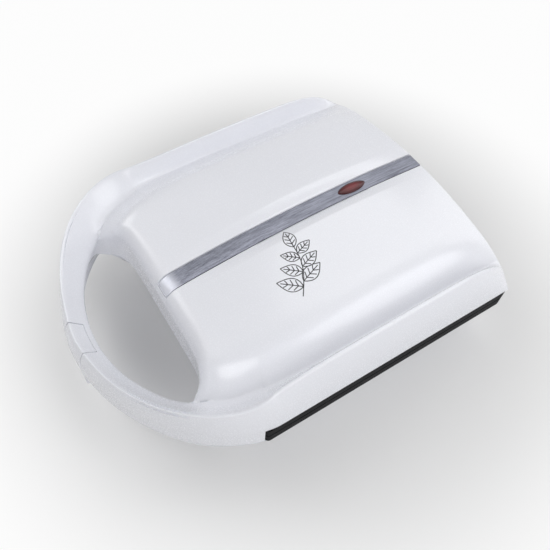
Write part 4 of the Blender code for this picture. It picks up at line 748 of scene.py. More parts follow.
lidMesh = buildSkin(lidRim, lidRow, frontFall(frontSteps), cooker["seam"], True, lidNotch, False)
lidSkin = plainObject("lidCover", *lidMesh)
outward(lidSkin)
makeThick(lidSkin, cooker["wall"])
levelRim(lidSkin, cooker["partingZ"] + cooker["seam"], 1)
rib = {"near": 0.0142, "far": 0.0168, "front": -0.1456, "back": -0.1340, "low": 0.0392, "frontTop": 0.0550,
       "crestY": -0.1420, "crestTop": 0.0600, "backTop": 0.0525, "round": 0.0004}


def latchRib(side):
    # rib under the handle that carries one end of the latch's pin
    profile = [(rib["front"], rib["low"]), (rib["back"], rib["low"]), (rib["back"], rib["backTop"]),
               (rib["crestY"], rib["crestTop"]), (rib["front"], rib["frontTop"])]
    return soften(prismObject("rib", profile, *sorted((side * rib["near"], side * rib["far"]))), rib["round"])


arms = [hingeArm(side) for side in bothSides]
ribs = [latchRib(side) for side in bothSides]
lidCover = merge("lidCover", [lidSkin] + arms + ribs)
dress(lidCover, "white_plastic", "lid", 55, ("lid_shell",))
print("lid cover:", len(lidCover.data.polygons), "faces")

# Base tub and the lower half of the handle
base = {"taper": 0.0240, "tubDepth": 0.0310, "handleDepth": 0.0128, "handleTuck": 0.0052, "frontY": -0.0676,
        "cornerDepth": 0.0080, "deeperFrom": 1.5, "deeperRun": 0.2, "innerShare": 0.66,
        "blur": 0.03, "slack": 0.0001, "middleRun": (0, 0.06, 5), "outerRun": (0.08, 1, 24), "floorPower": 6}
bowTable = ((0, 0), (1, 0), (1.09, 0.1), (1.18, 0.35), (1.27, 0.7), (1.355, 1), (2, 1))
tubWidthTable = ((0, 1), (1, 1), (1.09, 1.08), (1.18, 1.17), (1.27, 1.29), (1.355, 1.42), (1.433, 1.2),
                 (2, 1))
tubSection = ((0, 0), (0.05, 0.10), (0.20, 0.34), (0.50, 0.70), (0.80, 0.98), (0.92, 1.0))
handleSection = ((0, 0), (0.02, 0.18), (0.12, 0.48), (0.60, 0.84), (1.10, 0.99), (1.6, 1.03))


def baseRim(place):
    # rim section of the base: a tub beside the body, a shallow bowl under the handle
    bow = softRead(bowTable, place, base["blur"])
    taper = base["taper"] * softRead(tubWidthTable, place, base["blur"])
    rows = []
    for (d, h), (e, k) in zip(tubSection, handleSection):
        rows.append((taper * d * (1 - bow) + base["handleTuck"] * e * bow,
                     -(base["tubDepth"] * h * (1 - bow) + base["handleDepth"] * k * bow)))
    body = place <= cooker["shoulder"] + base["slack"]
    corner = np.clip((place - 1) / (cooker["shoulder"] - 1), 0, 1) ** 2
    tubEnd = base["tubDepth"] + (base["cornerDepth"] - base["tubDepth"]) * corner
    deeper = np.clip((place - base["deeperFrom"]) / base["deeperRun"], 0, 1)
    handleEnd = base["cornerDepth"] + (base["handleDepth"] - base["cornerDepth"]) * deeper
    endWidth = np.where(body, taper + cooker["wall"], footWidth(place) * base["innerShare"])
    rows.append((endWidth, -np.where(body, tubEnd, handleEnd)))
    upper = bentRun(np.stack([np.stack(row, -1) for row in rows], 1), wallSteps)
    return np.concatenate([np.repeat(upper[:, :1], slotRow + 1, 1), upper], 1)


def baseRow(place, end):
    centreY = centreLine(place, base["frontY"])
    endX, endY, low = end
    columns = []
    for share in np.concatenate([np.linspace(*base["middleRun"]), np.linspace(*base["outerRun"])]):
        h = -base["tubDepth"] + (low + base["tubDepth"]) * share ** base["floorPower"]
        columns.append(np.stack([endX * share, centreY + (endY - centreY) * share ** 4, h], -1))
    return np.stack(columns, 1)


def tubFall(steps):
    # the tub's front wall leans back all the way down
    return np.linspace(0, 1, steps), np.linspace(1, 0, steps)


def baseNotch(i, j, count):
    return i >= notchAt and slotRow < j < slotRow + latch["skinRows"]


latch = {
    "gap": 0.0003, "wall": 0.0022, "thickness": 0.0028, "bottomZ": 0.0260, "edgeRound": 0.00035,
    "skinRows": 12, "columns": 16, "topShare": 0.72,
    "pivotY": -0.1374, "pivotZ": 0.0570, "boss": 0.0025, "bossCrest": ((0.0005, 0.0022), (-0.0045, 0.0042)),
    "hookLength": 0.0028, "hookThickness": 0.0029, "hookInset": 0.0004, "hookLead": 0.0012,
    "hookTop": 0.005, "hookRound": 0.0003,
}
baseSkin = plainObject("baseCover", *buildSkin(baseRim, baseRow, tubFall(8), 0.0, False, baseNotch, True))
outward(baseSkin)
makeThick(baseSkin, cooker["wall"])
levelRim(baseSkin, cooker["partingZ"], -1)
catch = {"half": 0.0168, "front": -0.1449, "back": -0.1369, "low": 0.0296, "drop": 0.0003, "lead": 0.0010,
         "round": 0.0003}


def catchBlock():
    # the ledge inside the bow's front that the latch's hook holds
    front, lead, top = catch["front"], catch["lead"], cooker["partingZ"] - catch["drop"]
    profile = [(front, catch["low"] + lead), (front + lead, catch["low"]), (catch["back"], catch["low"]),
               (catch["back"], top), (front + lead, top), (front, top - lead)]
    return soften(prismObject("catch", profile, -catch["half"], catch["half"]), catch["round"])


ears = [hingeEar(side, way) for side in bothSides for way in bothSides]
baseCover = merge("baseCover", [baseSkin, catchBlock()] + ears)
dress(baseCover, "white_plastic", "base", 55, ("base_shell",))
print("base cover:", len(baseCover.data.polygons), "faces")


# Latch: its skin carries on the lid's and the base's surfaces
def latchSkin():
    half = np.linspace(placeAtX(cooker["latchHalf"] - latch["gap"]), 2, latch["columns"])
    run = np.concatenate([half, half[-2::-1]])
    upper = lidRim(run)
    top = slotRow + 1 + int((upper.shape[1] - slotRow - 2) * latchRowShare)
    lower = baseRim(run)[:, slotRow:slotRow + latch["skinRows"]][:, ::-1]
    section = np.concatenate([lower, upper[:, :top + 1]], 1)
    section[:, -1] = section[:, -1] * latch["topShare"] + section[:, -2] * (1 - latch["topShare"])
    point, inward = outline(run)
    rows = section.shape[1]
    points = []
    for i in range(len(run)):
        for d, h in section[i]:
            x, y = point[i] + inward[i] * d
            points.append((x if i < latch["columns"] else -x, y, cooker["partingZ"] + h))
    faces = [(i * rows + j, (i + 1) * rows + j, (i + 1) * rows + j + 1, i * rows + j + 1)
             for i in range(len(run) - 1) for j in range(rows - 1)]
    item = plainObject("latchSkin", points, faces)
    outward(item)
    if max(item.data.polygons, key=lambda face: face.center.z).normal.z < 0:
        item.data.flip_normals()
    makeThick(item, latch["wall"])
    return soften(item, latch["edgeRound"], 2, 60)


def latchHook():
    outer = cooker["bowCornerY"] - cooker["bowDepth"]
    front, inner = outer + latch["hookInset"], outer + latch["thickness"]
    low, tip = latch["bottomZ"], latch["bottomZ"] + latch["hookThickness"]
    profile = [(front, low + latch["hookThickness"] / 2), (outer + latch["hookLead"], low),
               (inner + latch["hookLength"], low), (inner + latch["hookLength"], tip), (inner, tip),
               (inner, cooker["partingZ"]), (front, cooker["partingZ"] - latch["hookTop"])]
    reach = cooker["latchHalf"] - latch["gap"]
    return soften(prismObject("latchHook", profile, -reach, reach), latch["hookRound"])


def latchBoss():
    y, z = latch["pivotY"], latch["pivotZ"]
    profile = arcPoints((y, z), latch["boss"], 150, 370, 24) + [(y + a, z + b) for a, b in latch["bossCrest"]]
    reach = cooker["latchHalf"] - latch["gap"]
    return prismObject("latchBoss", profile, -reach, reach)


latchCover = merge("latchCover", [latchSkin(), latchHook(), latchBoss()])
dress(latchCover, "white_plastic", "latch", 50, ("latch_clip",))

# Covers that close the hollow handle halves at the parting plane
grip = {"from": 1.365, "to": 1.845, "steps": 40, "thickness": 0.0020, "side": 0.0032, "round": 0.0003,
        "upperLevel": 0.0007, "lowerLevel": -0.0023}


def gripCovers(kind, body):
    name = kind + "GripCovers"
    run = np.linspace(grip["from"], grip["to"], grip["steps"])
    point, inward = outline(run)
    near = point + inward * grip["side"]
    far = point + inward * (footWidth(run) - grip["side"])[:, None]
    low = cooker["partingZ"] + grip[kind + "Level"]
    parts = []
    for side in bothSides:
        ends = [[(side * x, y, z) for x, y in (*near, *far[::-1])] for z in (low, low + grip["thickness"])]
        parts.append(soften(betweenLoops(name, *ends), grip["round"], 2, 60))
    replaced = (kind + "_handle_cover_left", kind + "_handle_cover_right")
    dress(merge(name, parts), "white_plastic", body, 50, replaced)


gripCovers("upper", "lid")
gripCovers("lower", "base")
print("latch and grip covers made")

# Brushed strip on the lid, its front end bent over the plateau's edge
strip = {"half": 0.0062, "thickness": 0.0012, "edge": 0.0003, "rear": 0.1371, "samples": 90,
         "hidden": 0.00003}


def bandPath():
    # (y, height above the parting plane) along the groove's rim
    run = []
    for share in np.linspace(0, 1, strip["samples"]):
        y = strip["rear"] + (lid["frontY"] - strip["rear"]) * share
        place = (cooker["backY"] - y) / (cooker["backY"] - cooker["bowCornerY"])
        arched = archShare(min(place, 1))
        h = crown(y, lid["bandHeight"], lid["bandDrop"]) * (1 - arched) + rearArch(0.0) * arched
        run.append((y, float(rearEdge(y, h))))
    top = run[-1][1]
    for share, fall in list(zip(*frontRound(frontSteps)))[1:grooveEnd + 1]:
        run.append((lid["frontY"] + (lid["holeY"] - lid["frontY"]) * share, top * fall))
    return run


def trimBand():
    run = bandPath()
    half, edge, low, top = strip["half"], strip["edge"], strip["hidden"], strip["thickness"]
    section = ((-half, low), (-half, top - edge), (-half + edge, top), (half - edge, top), (half, top - edge),
               (half, low))
    count = len(section)
    points = []
    for n, (y, h) in enumerate(run):
        before, after = run[max(0, n - 1)], run[min(len(run) - 1, n + 1)]
        along = Vector((after[0] - before[0], after[1] - before[1])).normalized()
        up = Vector((along.y, -along.x))
        floor = Vector((y, h)) - up * lid["grooveDepth"]
        for x, rise in section:
            at = floor + up * rise
            points.append((x, at.x, cooker["partingZ"] + at.y))
    last = len(points) - count
    ends = [tuple(range(count)), tuple(range(last + count - 1, last - 1, -1))]
    item = plainObject("trimBand", points, ringFaces(len(run), count) + ends)
    outward(item)
    dress(item, "brushed_trim", "lid", 40, ("trim_strip",))


trimBand()

# Oval lens of the signal lamp
lens = {
    "y": 0.0754, "length": 0.0240, "width": 0.0088, "point": 0.80, "rise": 0.0012, "lip": 0.0003,
    "domeLip": 0.0005, "domeShare": 0.97, "domePower": 2.4, "stem": 0.0040, "stemShare": 0.72,
    "rings": 14, "around": 72,
}


def signalLens():
    top = cooker["partingZ"] + crown(lens["y"], lid["bandHeight"], lid["bandDrop"]) - lid["grooveDepth"]
    slope = -2 * lid["bandDrop"] * (lens["y"] - lid["crownY"]) / lid["crownReach"] ** 2
    count, thick = lens["around"], strip["thickness"]
    # share of the oval, height, nearness to its middle
    rings = [(lens["stemShare"], -lens["stem"], 0.0), (lens["stemShare"], thick * 0.5, 0.0),
             (1.0, thick * 0.5, 0.0), (1.0, thick + lens["lip"], 0.0)]
    for n in range(lens["rings"]):
        share = lens["domeShare"] * (1 - n / lens["rings"])
        dome = lens["rise"] * (1 - share ** lens["domePower"])
        rings.append((share, thick + lens["domeLip"] + dome, 1 - share))
    points = []
    middle = []
    for share, rise, depth in rings:
        for k in range(count):
            angle = 2 * math.pi * k / count
            across = math.copysign(abs(math.sin(angle)) ** (1 / lens["point"]), math.sin(angle))
            y = lens["length"] / 2 * math.cos(angle) * share
            points.append((lens["width"] / 2 * across * share, lens["y"] + y, top + slope * y + rise))
            middle.append(depth)
    ends = [tuple(range(count - 1, -1, -1)), tuple(range(len(points) - count, len(points)))]
    item = plainObject("signalLens", points, ringFaces(len(rings), count) + ends)
    item.data.attributes.new("middle", "FLOAT", "POINT").data.foreach_set("value", middle)
    outward(item, 0.0)
    dress(item, "red_lens", "lid", 40, ("lamp_lens",))


signalLens()
print("strip and lens made")

# Baking plates: hollows for the walnut shells below, cores above
plate = {
    "frontY": cooker["plateFrontY"], "halfX": cooker["halfWidth"], "corner": 0.0030, "round": 0.0006,
    "across": 4, "along": 6, "borderX": 0.0150, "borderY": 0.0036, "rimWidth": 0.0030,
    "shellLength": 0.0400, "shellWidth": 0.0275, "shellDepth": 0.0130, "doughGap": 0.0032, "wall": 0.0035,
    "wrinkle": 0.0008, "folds": 7, "seamRidge": 0.0009, "rings": 22, "backRings": 8,
    "around": 80, "cellShare": 1.07, "landRings": (1.02, 1.06), "cornerPoints": 6, "atEdge": 0.9999,
    "domePower": 2.3, "twist": 3.1, "spiral": 5, "cross": 0.6, "crossFolds": (9, 4, 5), "seamHalf": 0.07,
    "fadeOut": 6, "fadeIn": 4, "fadeLeast": 0.35, "weld": 0.00002, "closeWeld": 0.000001,
}
lowerPlate = {"face": 0.0465, "under": 0.0413, "rim": 0.0383, "screwTop": 0.0461}
upperPlate = {"face": 0.0468, "under": 0.0520, "rim": 0.0550, "screwTop": 0.0472}
pitchX = 2 * (plate["halfX"] - plate["borderX"]) / plate["across"]
pitchY = (cooker["backY"] - plate["frontY"] - 2 * plate["borderY"]) / plate["along"]
plateMiddleY = (cooker["backY"] + plate["frontY"]) / 2


def shellHeight(u, v, deep, wrinkled):
    # height of a walnut half shell at (u, v), each from -1 to 1 over its half length and half width
    reach = math.hypot(u, v)
    dome = deep * math.sqrt(max(0, 1 - reach ** plate["domePower"]))
    if not wrinkled:
        return dome
    angle = math.atan2(v, u)
    turned = plate["twist"] * math.sin(2 * angle)
    folds = math.sin(plate["folds"] * 2 * angle + turned + plate["spiral"] * reach)
    alongU, swing, alongV = plate["crossFolds"]
    folds += plate["cross"] * math.sin(alongU * u + swing * math.sin(alongV * v))
    seam = math.exp(-(v / plate["seamHalf"]) ** 2)
    inner = min(1, max(plate["fadeLeast"], reach * plate["fadeIn"]))
    fade = min(1, max(0, (1 - reach) * plate["fadeOut"])) * inner
    return dome - (plate["wrinkle"] * folds * 0.5 - plate["seamRidge"] * seam) * fade


def cellSheet(halfU, halfV, deep, level, land, rings, wrinkled):
    # one cell of a plate's surface: rings of the shell from its middle out, then flat land to the cell's edge
    around = plate["around"]
    turns = [2 * math.pi * k / around for k in range(around)]
    points = [(0.0, 0.0, min(land, level - shellHeight(0.0, 0.0, deep, wrinkled)))]
    for n in range(1, rings + 1):
        share = math.sin(math.pi / 2 * n / rings)
        for turn in turns:
            u, v = math.cos(turn) * share, math.sin(turn) * share
            points.append((halfU * u, halfV * v, min(land, level - shellHeight(u, v, deep, wrinkled))))
    shellEdge = points[-around:]
    for share in plate["landRings"]:
        points += [(x * share, y * share, land) for x, y, z in shellEdge]
    nearest = round(math.atan2(pitchY, pitchX) / (2 * math.pi / around))
    for k, turn in enumerate(turns):
        across, along = math.cos(turn), math.sin(turn)
        reach = min(pitchX / 2 / max(abs(across), 1e-9), pitchY / 2 / max(abs(along), 1e-9))
        x, y = across * reach, along * reach
        if (k % (around // 2)) in (nearest, around // 2 - nearest):
            x, y = math.copysign(pitchX / 2, across), math.copysign(pitchY / 2, along)
        points.append((x, y, land))
    faces = [(0, 1 + k, 1 + (k + 1) % around) for k in range(around)]
    faces += [(a, d, c, b) for a, b, c, d in ringFaces(rings + 3, around, 1)]
    return points, faces


def cellObject(size, hollow):
    # the face and the back of one cell, as two sheets
    gap = 0 if hollow else plate["doughGap"]
    halfU, halfV = plate["shellLength"] / 2 - gap, plate["shellWidth"] / 2 - gap
    deep = plate["shellDepth"] - gap
    points, faces = cellSheet(halfU, halfV, deep, size["face"], size["face"], plate["rings"], True)
    if hollow:
        wall = plate["wall"]
        backV = min(halfV + wall, pitchY / 2 / plate["cellShare"])
        back = cellSheet(halfU + wall, backV, deep + wall, size["face"], size["under"],
                         plate["backRings"], False)
    else:
        back = cellSheet(halfU, halfV, 0.0, size["under"], size["under"], 1, False)
    first = len(points)
    return plainObject("cell", points + back[0], faces + [tuple(first + n for n in face) for face in back[1]])


def newTree(name, inputs, slot):
    # a Geometry Nodes tree with named inputs, which ends in Realize Instances and Set Material
    tree = bpy.data.node_groups.new(name, "GeometryNodeTree")
    face = tree.interface
    face.new_socket("Geometry", in_out="OUTPUT", socket_type="NodeSocketGeometry")
    keys = {label: face.new_socket(label, in_out="INPUT", socket_type="NodeSocket" + kind).identifier
            for label, kind in inputs.items()}
    entry = tree.nodes.new("NodeGroupInput")
    leave = tree.nodes.new("NodeGroupOutput")
    real = tree.nodes.new("GeometryNodeRealizeInstances")
    paint = setInputs(tree.nodes.new("GeometryNodeSetMaterial"), {"Material": finish[slot]})
    tree.links.new(real.outputs["Geometry"], paint.inputs["Geometry"])
    tree.links.new(paint.outputs["Geometry"], leave.inputs[0])
    return tree, keys, entry.outputs, real.inputs["Geometry"]


def runTree(item, tree, keys, sizes):
    # the tree as a modifier, its inputs set, turned into a plain mesh
    step = item.modifiers.new("nodes", "NODES")
    step.node_group = tree
    for label, value in sizes.items():
        step[keys[label]] = value
    return settle(item)


def repeated(name, source, slot, *sizes):
    # a plain mesh of an object repeated over a grid: its size in X and Y, then its counts
    inputs = {"Size X": "Float", "Size Y": "Float", "Vertices X": "Int", "Vertices Y": "Int"}
    tree, keys, entry, result = newTree(name + "Grid", inputs, slot)
    grid = tree.nodes.new("GeometryNodeMeshGrid")
    shape = setInputs(tree.nodes.new("GeometryNodeObjectInfo"), {"Object": source})
    place = tree.nodes.new("GeometryNodeInstanceOnPoints")
    for label in inputs:
        tree.links.new(entry[label], grid.inputs[label])
    tree.links.new(grid.outputs["Mesh"], place.inputs["Points"])
    tree.links.new(shape.outputs["Geometry"], place.inputs["Instance"])
    tree.links.new(place.outputs["Instances"], result)
    item = runTree(plainObject(name, [(0, 0, 0)], []), tree, keys, dict(zip(inputs, sizes)))
    bpy.data.objects.remove(source)
    return item


def rimLoop(bm, level, near=0.00001):
    # the outer edge of one sheet, in order: along the front, then up the right side
    ahead = {}
    for edge in bm.edges:
        if len(edge.link_faces) == 1 and abs(edge.verts[0].co.z - level) < near:
            ahead.setdefault(edge.verts[0], []).append(edge.verts[1])
            ahead.setdefault(edge.verts[1], []).append(edge.verts[0])
    start = min(ahead, key=lambda vert: vert.co.x + vert.co.y)
    last, here = start, max(ahead[start], key=lambda vert: vert.co.x)
    loop = [start]
    while here is not start:
        loop.append(here)
        last, here = here, [vert for vert in ahead[here] if vert is not last][0]
    return loop


def outlineAnchors(x, y):
    # where a point of the cells' field lies on the plate's outline, with its outward direction
    # a corner gives an arc
    halfX, halfY, corner = plate["halfX"], (cooker["backY"] - plate["frontY"]) / 2, plate["corner"]
    right = x / (pitchX * plate["across"] / 2)
    far = (y - plateMiddleY) / (pitchY * plate["along"] / 2)
    centreX, centreY = right * (halfX - corner), plateMiddleY + far * (halfY - corner)
    if abs(right) > plate["atEdge"] and abs(far) > plate["atEdge"]:
        start = {(-1, -1): 180, (1, -1): 270, (1, 1): 0, (-1, 1): 90}[(round(right), round(far))]
        turns = np.radians(np.linspace(start, start + 90, plate["cornerPoints"]))
        return [(centreX, centreY, math.cos(turn), math.sin(turn)) for turn in turns]
    if abs(right) > plate["atEdge"]:
        return [(centreX, centreY, math.copysign(1, right), 0.0)]
    return [(centreX, centreY, 0.0, math.copysign(1, far))]


def joinLoops(bm, inner, outer):
    # faces from a sheet's edge to a loop with several points at each corner
    count = len(inner)
    for n in range(count):
        here, ahead = outer[n], outer[(n + 1) % count]
        bm.faces.new((inner[n], inner[(n + 1) % count], ahead[0], here[-1]))
        for first, second in zip(here, here[1:]):
            bm.faces.new((inner[n], first, second))


# Countersunk plate screws with a cross recess
screw = {
    "x": 0.1060, "frontY": -0.0547, "backY": 0.1239, "well": 0.0037, "wellDepth": 0.0021, "around": 40,
    "headRadius": 0.0031, "head": 0.0016,
    "dome": 0.0004, "domeShares": ((0.35, 0.1), (0.7, 0.45), (0.92, 1), (1, 1.7)),
    "shank": 0.0016, "length": 0.0109, "tip": 0.0004, "tipShare": 0.7,
    "recess": 0.0019, "recessHalf": 0.00042, "recessDepth": 0.0010,
}


def circlePoints(centre, radius):
    return arcPoints(centre, radius, 0, 360 - 360 / screw["around"], screw["around"] - 1)


def screwWell(x, y, level):
    loop = circlePoints((x, y), screw["well"])
    low, high = level - screw["wellDepth"], level + screw["wellDepth"]
    return betweenLoops("well", [(px, py, low) for px, py in loop], [(px, py, high) for px, py in loop])


def bakingPlate(name, size, hollow, body, replaced):
    cells = repeated(name, cellObject(size, hollow), "black_casting", pitchX * (plate["across"] - 1),
                     pitchY * (plate["along"] - 1), plate["across"], plate["along"])
    bm = bmesh.new()
    bm.from_mesh(cells.data)
    bpy.data.objects.remove(cells)
    bmesh.ops.translate(bm, verts=bm.verts, vec=(0, plateMiddleY, 0))
    bmesh.ops.remove_doubles(bm, verts=bm.verts, dist=plate["weld"])
    face = rimLoop(bm, size["face"])
    back = rimLoop(bm, size["under"])
    anchors = [outlineAnchors(vert.co.x, vert.co.y) for vert in face]
    roundZ = size["face"] + math.copysign(plate["round"], size["rim"] - size["face"])
    levels = ((size["face"], plate["round"]), (roundZ, 0.0), (size["rim"], 0.0),
              (size["rim"], plate["rimWidth"]), (size["under"], plate["rimWidth"]))
    loops = []
    for z, inset in levels:
        reach = plate["corner"] - inset
        loops.append([[bm.verts.new((x + nx * reach, y + ny * reach, z)) for x, y, nx, ny in group]
                      for group in anchors])
    joinLoops(bm, face, loops[0])
    joinLoops(bm, back, loops[-1])
    flat = [[vert for group in loop for vert in group] for loop in loops]
    for first, second in zip(flat, flat[1:]):
        for n in range(len(first)):
            ahead = (n + 1) % len(first)
            bm.faces.new((first[n], first[ahead], second[ahead], second[n]))
    bmesh.ops.remove_doubles(bm, verts=bm.verts, dist=plate["closeWeld"])
    bmesh.ops.recalc_face_normals(bm, faces=bm.faces)
    item = bmeshObject(name, bm)
    cutBy(item, [screwWell(x, y, size["face"]) for x in (-screw["x"], screw["x"])
                 for y in (screw["frontY"], screw["backY"])])
    print(name + ":", len(item.data.polygons), "faces")
    dress(item, "black_casting", body, 30, replaced)


def screwObject():
    # head's top at the origin, shank below it
    wide, head, shank, end = screw["headRadius"], -screw["head"], screw["shank"], -screw["length"]
    profile = [(wide * share, -screw["dome"] * drop) for share, drop in screw["domeShares"]]
    profile += [(wide, head), (shank, head), (shank, end + screw["tip"]), (shank * screw["tipShare"], end)]
    count = screw["around"]
    points = [(0.0, 0.0, 0.0)]
    for radius, z in profile:
        points += [(x, y, z) for x, y in circlePoints((0, 0), radius)]
    points.append((0.0, 0.0, end))
    last = len(points) - 1
    faces = [(0, 1 + k, 1 + (k + 1) % count) for k in range(count)]
    faces += [(a, d, c, b) for a, b, c, d in ringFaces(len(profile), count, 1)]
    faces += [(last, last - count + (k + 1) % count, last - count + k) for k in range(count)]
    item = plainObject("screw", points, faces)
    outward(item)
    thin, long, deep = screw["recessHalf"], screw["recess"], screw["recessDepth"]
    slots = [prismObject("slot", [(-y, -deep), (y, -deep), (y, deep), (-y, deep)], -x, x)
             for x, y in ((long, thin), (thin, long))]
    return cutBy(item, slots)


def plateScrews(kind, size, turned, body):
    name = kind + "PlateScrews"
    item = repeated(name, screwObject(), "zinc_steel", 2 * screw["x"], screw["backY"] - screw["frontY"], 2, 2)
    turn = Matrix.Rotation(math.pi, 4, "X") if turned else Matrix.Identity(4)
    middle = (0, (screw["backY"] + screw["frontY"]) / 2, size["screwTop"])
    item.data.transform(Matrix.Translation(middle) @ turn)
    replaced = [f"{kind}_plate_screw_{end}_{side}" for end in ("back", "front") for side in ("left", "right")]
    dress(item, "zinc_steel", body, 35, replaced)


bakingPlate("lowerPlateCast", lowerPlate, True, "base", ("lower_baking_plate",))
bakingPlate("upperPlateCast", upperPlate, False, "lid", ("upper_baking_plate",))
plateScrews("lower", lowerPlate, False, "base")
plateScrews("upper", upperPlate, True, "lid")
print("baking plates and screws made")

# Leaf sprig printed on the lid in thin dark lines
sprig = {"x": 0.0360, "y": 0.0030, "turn": 57.9, "lean": -14, "length": 0.0400, "bow": 0.0040, "pairs": 3,
         "firstPair": 0.10, "pairStep": 0.27, "shrink": 0.13, "stagger": 0.05, "leafLength": 0.0178,
         "leafWidth": 0.0050, "leafAngle": 60, "leafTilt": 8, "veins": 3, "endLeaf": 0.82, "endTurn": -12,
         "endShare": 0.85, "line": 0.00060, "sunk": 0.00046, "step": 0.0007, "sides": 8,
         "stemRun": (-0.12, 0.84, 24), "leafPoints": 15, "midribPoints": 13, "leafPower": 0.8,
         "veinStart": 0.18, "veinStep": 0.2, "veinBend": ((0, 0), (0.08, 0.4), (0.15, 0.78))}


def leafLines(foot, degrees, size):
    # outline, midrib and veins of one leaf, as runs of (right, up) points
    heading = math.radians(degrees)
    ahead = np.array((math.sin(heading), math.cos(heading)))
    side = np.array((ahead[1], -ahead[0]))
    length, width = sprig["leafLength"] * size, sprig["leafWidth"] * size
    shares = np.linspace(0, 1, sprig["leafPoints"])

    def at(share, across):
        bulge = math.sin(math.pi * share ** sprig["leafPower"])
        return foot + ahead * length * share + side * across * width * bulge

    lines = [[at(s, way) for s in shares] for way in bothSides]
    lines.append([at(s, 0) for s in shares[:sprig["midribPoints"]]])
    for n in range(sprig["veins"]):
        start = sprig["veinStart"] + sprig["veinStep"] * n
        for way in bothSides:
            lines.append([at(start + along, across * way) for along, across in sprig["veinBend"]])
    return lines


def sprigLines():
    def stem(share):
        return np.array((sprig["bow"] * math.sin(math.pi * share), sprig["length"] * (share - 0.5)))

    lines = [[stem(s) for s in np.linspace(*sprig["stemRun"])]]
    for n in range(sprig["pairs"]):
        share = sprig["firstPair"] + sprig["pairStep"] * n
        for way in bothSides:
            degrees = way * sprig["leafAngle"] - sprig["leafTilt"]
            lines += leafLines(stem(share + sprig["stagger"] * way), degrees, 1 - sprig["shrink"] * n)
    return lines + leafLines(stem(sprig["endLeaf"]), sprig["endTurn"], sprig["endShare"])


def asTubes(item):
    # Geometry Nodes: lines turned into thin closed tubes
    inputs = {"Geometry": "Geometry", "Line Radius": "Float", "Sides": "Int"}
    tree, keys, entry, result = newTree("sprigTubes", inputs, "dark_rubber")
    curve = tree.nodes.new("GeometryNodeMeshToCurve")
    circle = tree.nodes.new("GeometryNodeCurvePrimitiveCircle")
    tube = setInputs(tree.nodes.new("GeometryNodeCurveToMesh"), {"Fill Caps": True})
    link = tree.links.new
    link(entry["Geometry"], curve.inputs["Mesh"])
    link(entry["Line Radius"], circle.inputs["Radius"])
    link(entry["Sides"], circle.inputs["Resolution"])
    link(curve.outputs["Curve"], tube.inputs["Curve"])
    link(circle.outputs["Curve"], tube.inputs["Profile Curve"])
    link(tube.outputs["Mesh"], result)
    return runTree(item, tree, keys, {"Line Radius": sprig["line"], "Sides": sprig["sides"]})


def leafSprigPrint():
    surface = BVHTree.FromPolygons([vert.co for vert in lidCover.data.vertices],
                                   [tuple(face.vertices) for face in lidCover.data.polygons])
    turned = math.radians(sprig["turn"])
    right = np.array((math.cos(turned), math.sin(turned)))
    up = np.array((-right[1], right[0]))
    lean = math.radians(sprig["lean"])
    points = []
    edges = []
    for line in sprigLines():
        steps = [line[0]]
        for first, second in zip(line, line[1:]):
            count = max(1, math.ceil(np.linalg.norm(second - first) / sprig["step"]))
            steps += [first + (second - first) * n / count for n in range(1, count + 1)]
        for n, (a, b) in enumerate(steps):
            a, b = a * math.cos(lean) + b * math.sin(lean), b * math.cos(lean) - a * math.sin(lean)
            x, y = np.array((sprig["x"], sprig["y"])) + right * a + up * b
            hit = surface.ray_cast(Vector((x, y, 1)), Vector((0, 0, -1)))
            points.append(hit[0] - hit[1] * sprig["sunk"])
            if n:
                edges.append((len(points) - 2, len(points) - 1))
    item = asTubes(plainObject("leafSprigPrint", points, [], edges))
    outward(item, 0.0)
    dress(item, "dark_rubber", "lid", 60)


leafSprigPrint()
print("leaf sprig made")

# Camera of the photograph
camera = {
    "place": (0.21272, -0.13869, 0.39694), "lens": 37.7266, "sensor": 36,
    "right": (0.53118078, 0.84631602, 0.03995216),
    "up": (-0.70711982, 0.41685338, 0.57115219),
    "back": (0.46672105, -0.33163603, 0.81987133),
}
eye = bpy.data.cameras.new("photoCamera")
eye.lens = camera["lens"]
eye.sensor_width = camera["sensor"]
eye.clip_start = 0.01
eyeObject = sceneObject("photoCamera", eye)
turn = Matrix((camera["right"], camera["up"], camera["back"])).transposed().to_4x4()
eyeObject.matrix_world = Matrix.Translation(camera["place"]) @ turn
bpy.context.scene.camera = eyeObject

# Floor, world and lamps
studio = {
    "floorShade": 0.80, "floorSize": 6.0, "floorRoughness": 0.95, "floorSpecular": 0.1,
    "nearGlow": 0.06, "farGlow": 0.94, "nearReach": 0.15, "farReach": 0.30, "middleY": 0.045,
    "sky": 0.035, "skyColour": (0.97, 0.98, 1), "distance": 1.1, "lampSize": 0.75, "lampWatts": 9.3,
}
# azimuth and elevation in degrees, and the share of lampWatts
softboxes = (
    (30, 30, 0.35), (90, 30, 0.25), (210, 30, 0.40), (270, 30, 0.05), (330, 30, 0.45),
    (60, 60, 0.10), (120, 60, 0.25), (180, 60, 0.05), (240, 60, 0.10),
)


def seenRays(nodes, links):
    # 1 for the camera's rays and for those of reflections and clear materials, 0 for the light on the object
    path = nodes.new("ShaderNodeLightPath")
    total = path.outputs["Is Camera Ray"]
    for label in ("Is Glossy Ray", "Is Transmission Ray"):
        total = addMath(nodes, links, "MAXIMUM", total, path.outputs[label])
    return total


def litOrGlowing(nodes, links, amount, lit, glowing, end):
    # mixes what the lamps and the sky light with a glow of its own
    mix = nodes.new("ShaderNodeMixShader")
    for socket, source in zip(mix.inputs, (amount, lit.outputs[0], glowing.outputs[0])):
        links.new(source, socket)
    links.new(mix.outputs[0], nodes[end].inputs["Surface"])


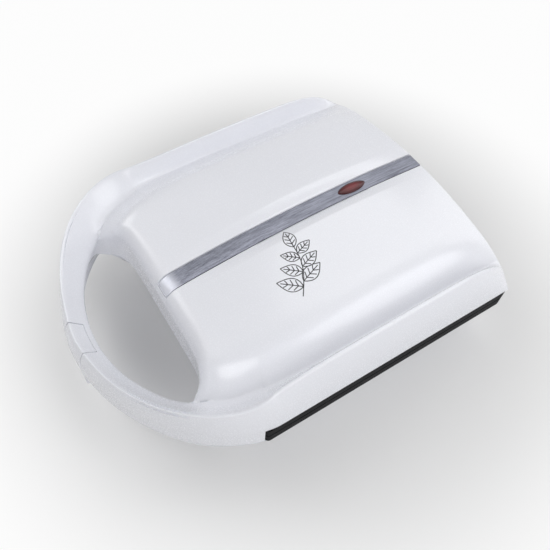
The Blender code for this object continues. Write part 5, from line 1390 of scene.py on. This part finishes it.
def makeFloor():
    # the floor keeps the object's real shadow near it and glows towards white further out; as the glow fades
    # out near the object, the darker floor round it is partly painted shadow
    half = studio["floorSize"] / 2
    corners = [(-half, -half, 0), (half, -half, 0), (half, half, 0), (-half, half, 0)]
    item = plainObject("floor", corners, [(0, 1, 2, 3)])
    made, nodes, links, shader = newMaterial("paleFloor")
    shader.inputs["Base Color"].default_value = (studio["floorShade"],) * 3 + (1,)
    setInputs(shader, {"Roughness": studio["floorRoughness"], "Specular IOR Level": studio["floorSpecular"]})
    place = nodes.new("ShaderNodeTexCoord")
    centre = setInputs(nodes.new("ShaderNodeMapping"), {"Location": (0, -studio["middleY"], 0)})
    length = nodes.new("ShaderNodeVectorMath")
    length.operation = "LENGTH"
    links.new(place.outputs["Object"], centre.inputs["Vector"])
    links.new(centre.outputs["Vector"], length.inputs[0])
    # painted shadow: little glow near the object and more further out, so the floor is darker round the
    # object
    spread = addRange(nodes, links, length.outputs["Value"], studio["nearGlow"], studio["farGlow"],
                      studio["nearReach"], studio["farReach"], "SMOOTHSTEP")
    amount = addMath(nodes, links, "MULTIPLY", seenRays(nodes, links), spread)
    litOrGlowing(nodes, links, amount, shader, nodes.new("ShaderNodeEmission"), "Material Output")
    item.data.materials.append(made)


def makeWorld():
    world = bpy.data.worlds.new("studio")
    bpy.context.scene.world = world
    world.use_nodes = True
    nodes, links = world.node_tree.nodes, world.node_tree.links
    sky = setInputs(nodes["Background"], {"Color": (*studio["skyColour"], 1), "Strength": studio["sky"]})
    white = setInputs(nodes.new("ShaderNodeBackground"), {"Color": (1, 1, 1, 1)})
    litOrGlowing(nodes, links, seenRays(nodes, links), sky, white, "World Output")


def makeSoftboxes():
    for azimuth, elevation, share in softboxes:
        turned, raised = math.radians(azimuth), math.radians(elevation)
        level = math.cos(raised)
        away = Vector((math.cos(turned) * level, math.sin(turned) * level, math.sin(raised)))
        lamp = bpy.data.lights.new(f"softbox_{azimuth}_{elevation}", "AREA")
        lamp.shape = "DISK"
        lamp.size = studio["lampSize"]
        lamp.energy = studio["lampWatts"] * share
        item = sceneObject(lamp.name, lamp)
        item.location = away * studio["distance"] + Vector((0, 0, cooker["partingZ"]))
        item.rotation_euler = away.to_track_quat("Z", "Y").to_euler()


makeFloor()
makeWorld()
makeSoftboxes()
bpy.context.scene.view_settings.view_transform = "Standard"
print("studio ready")
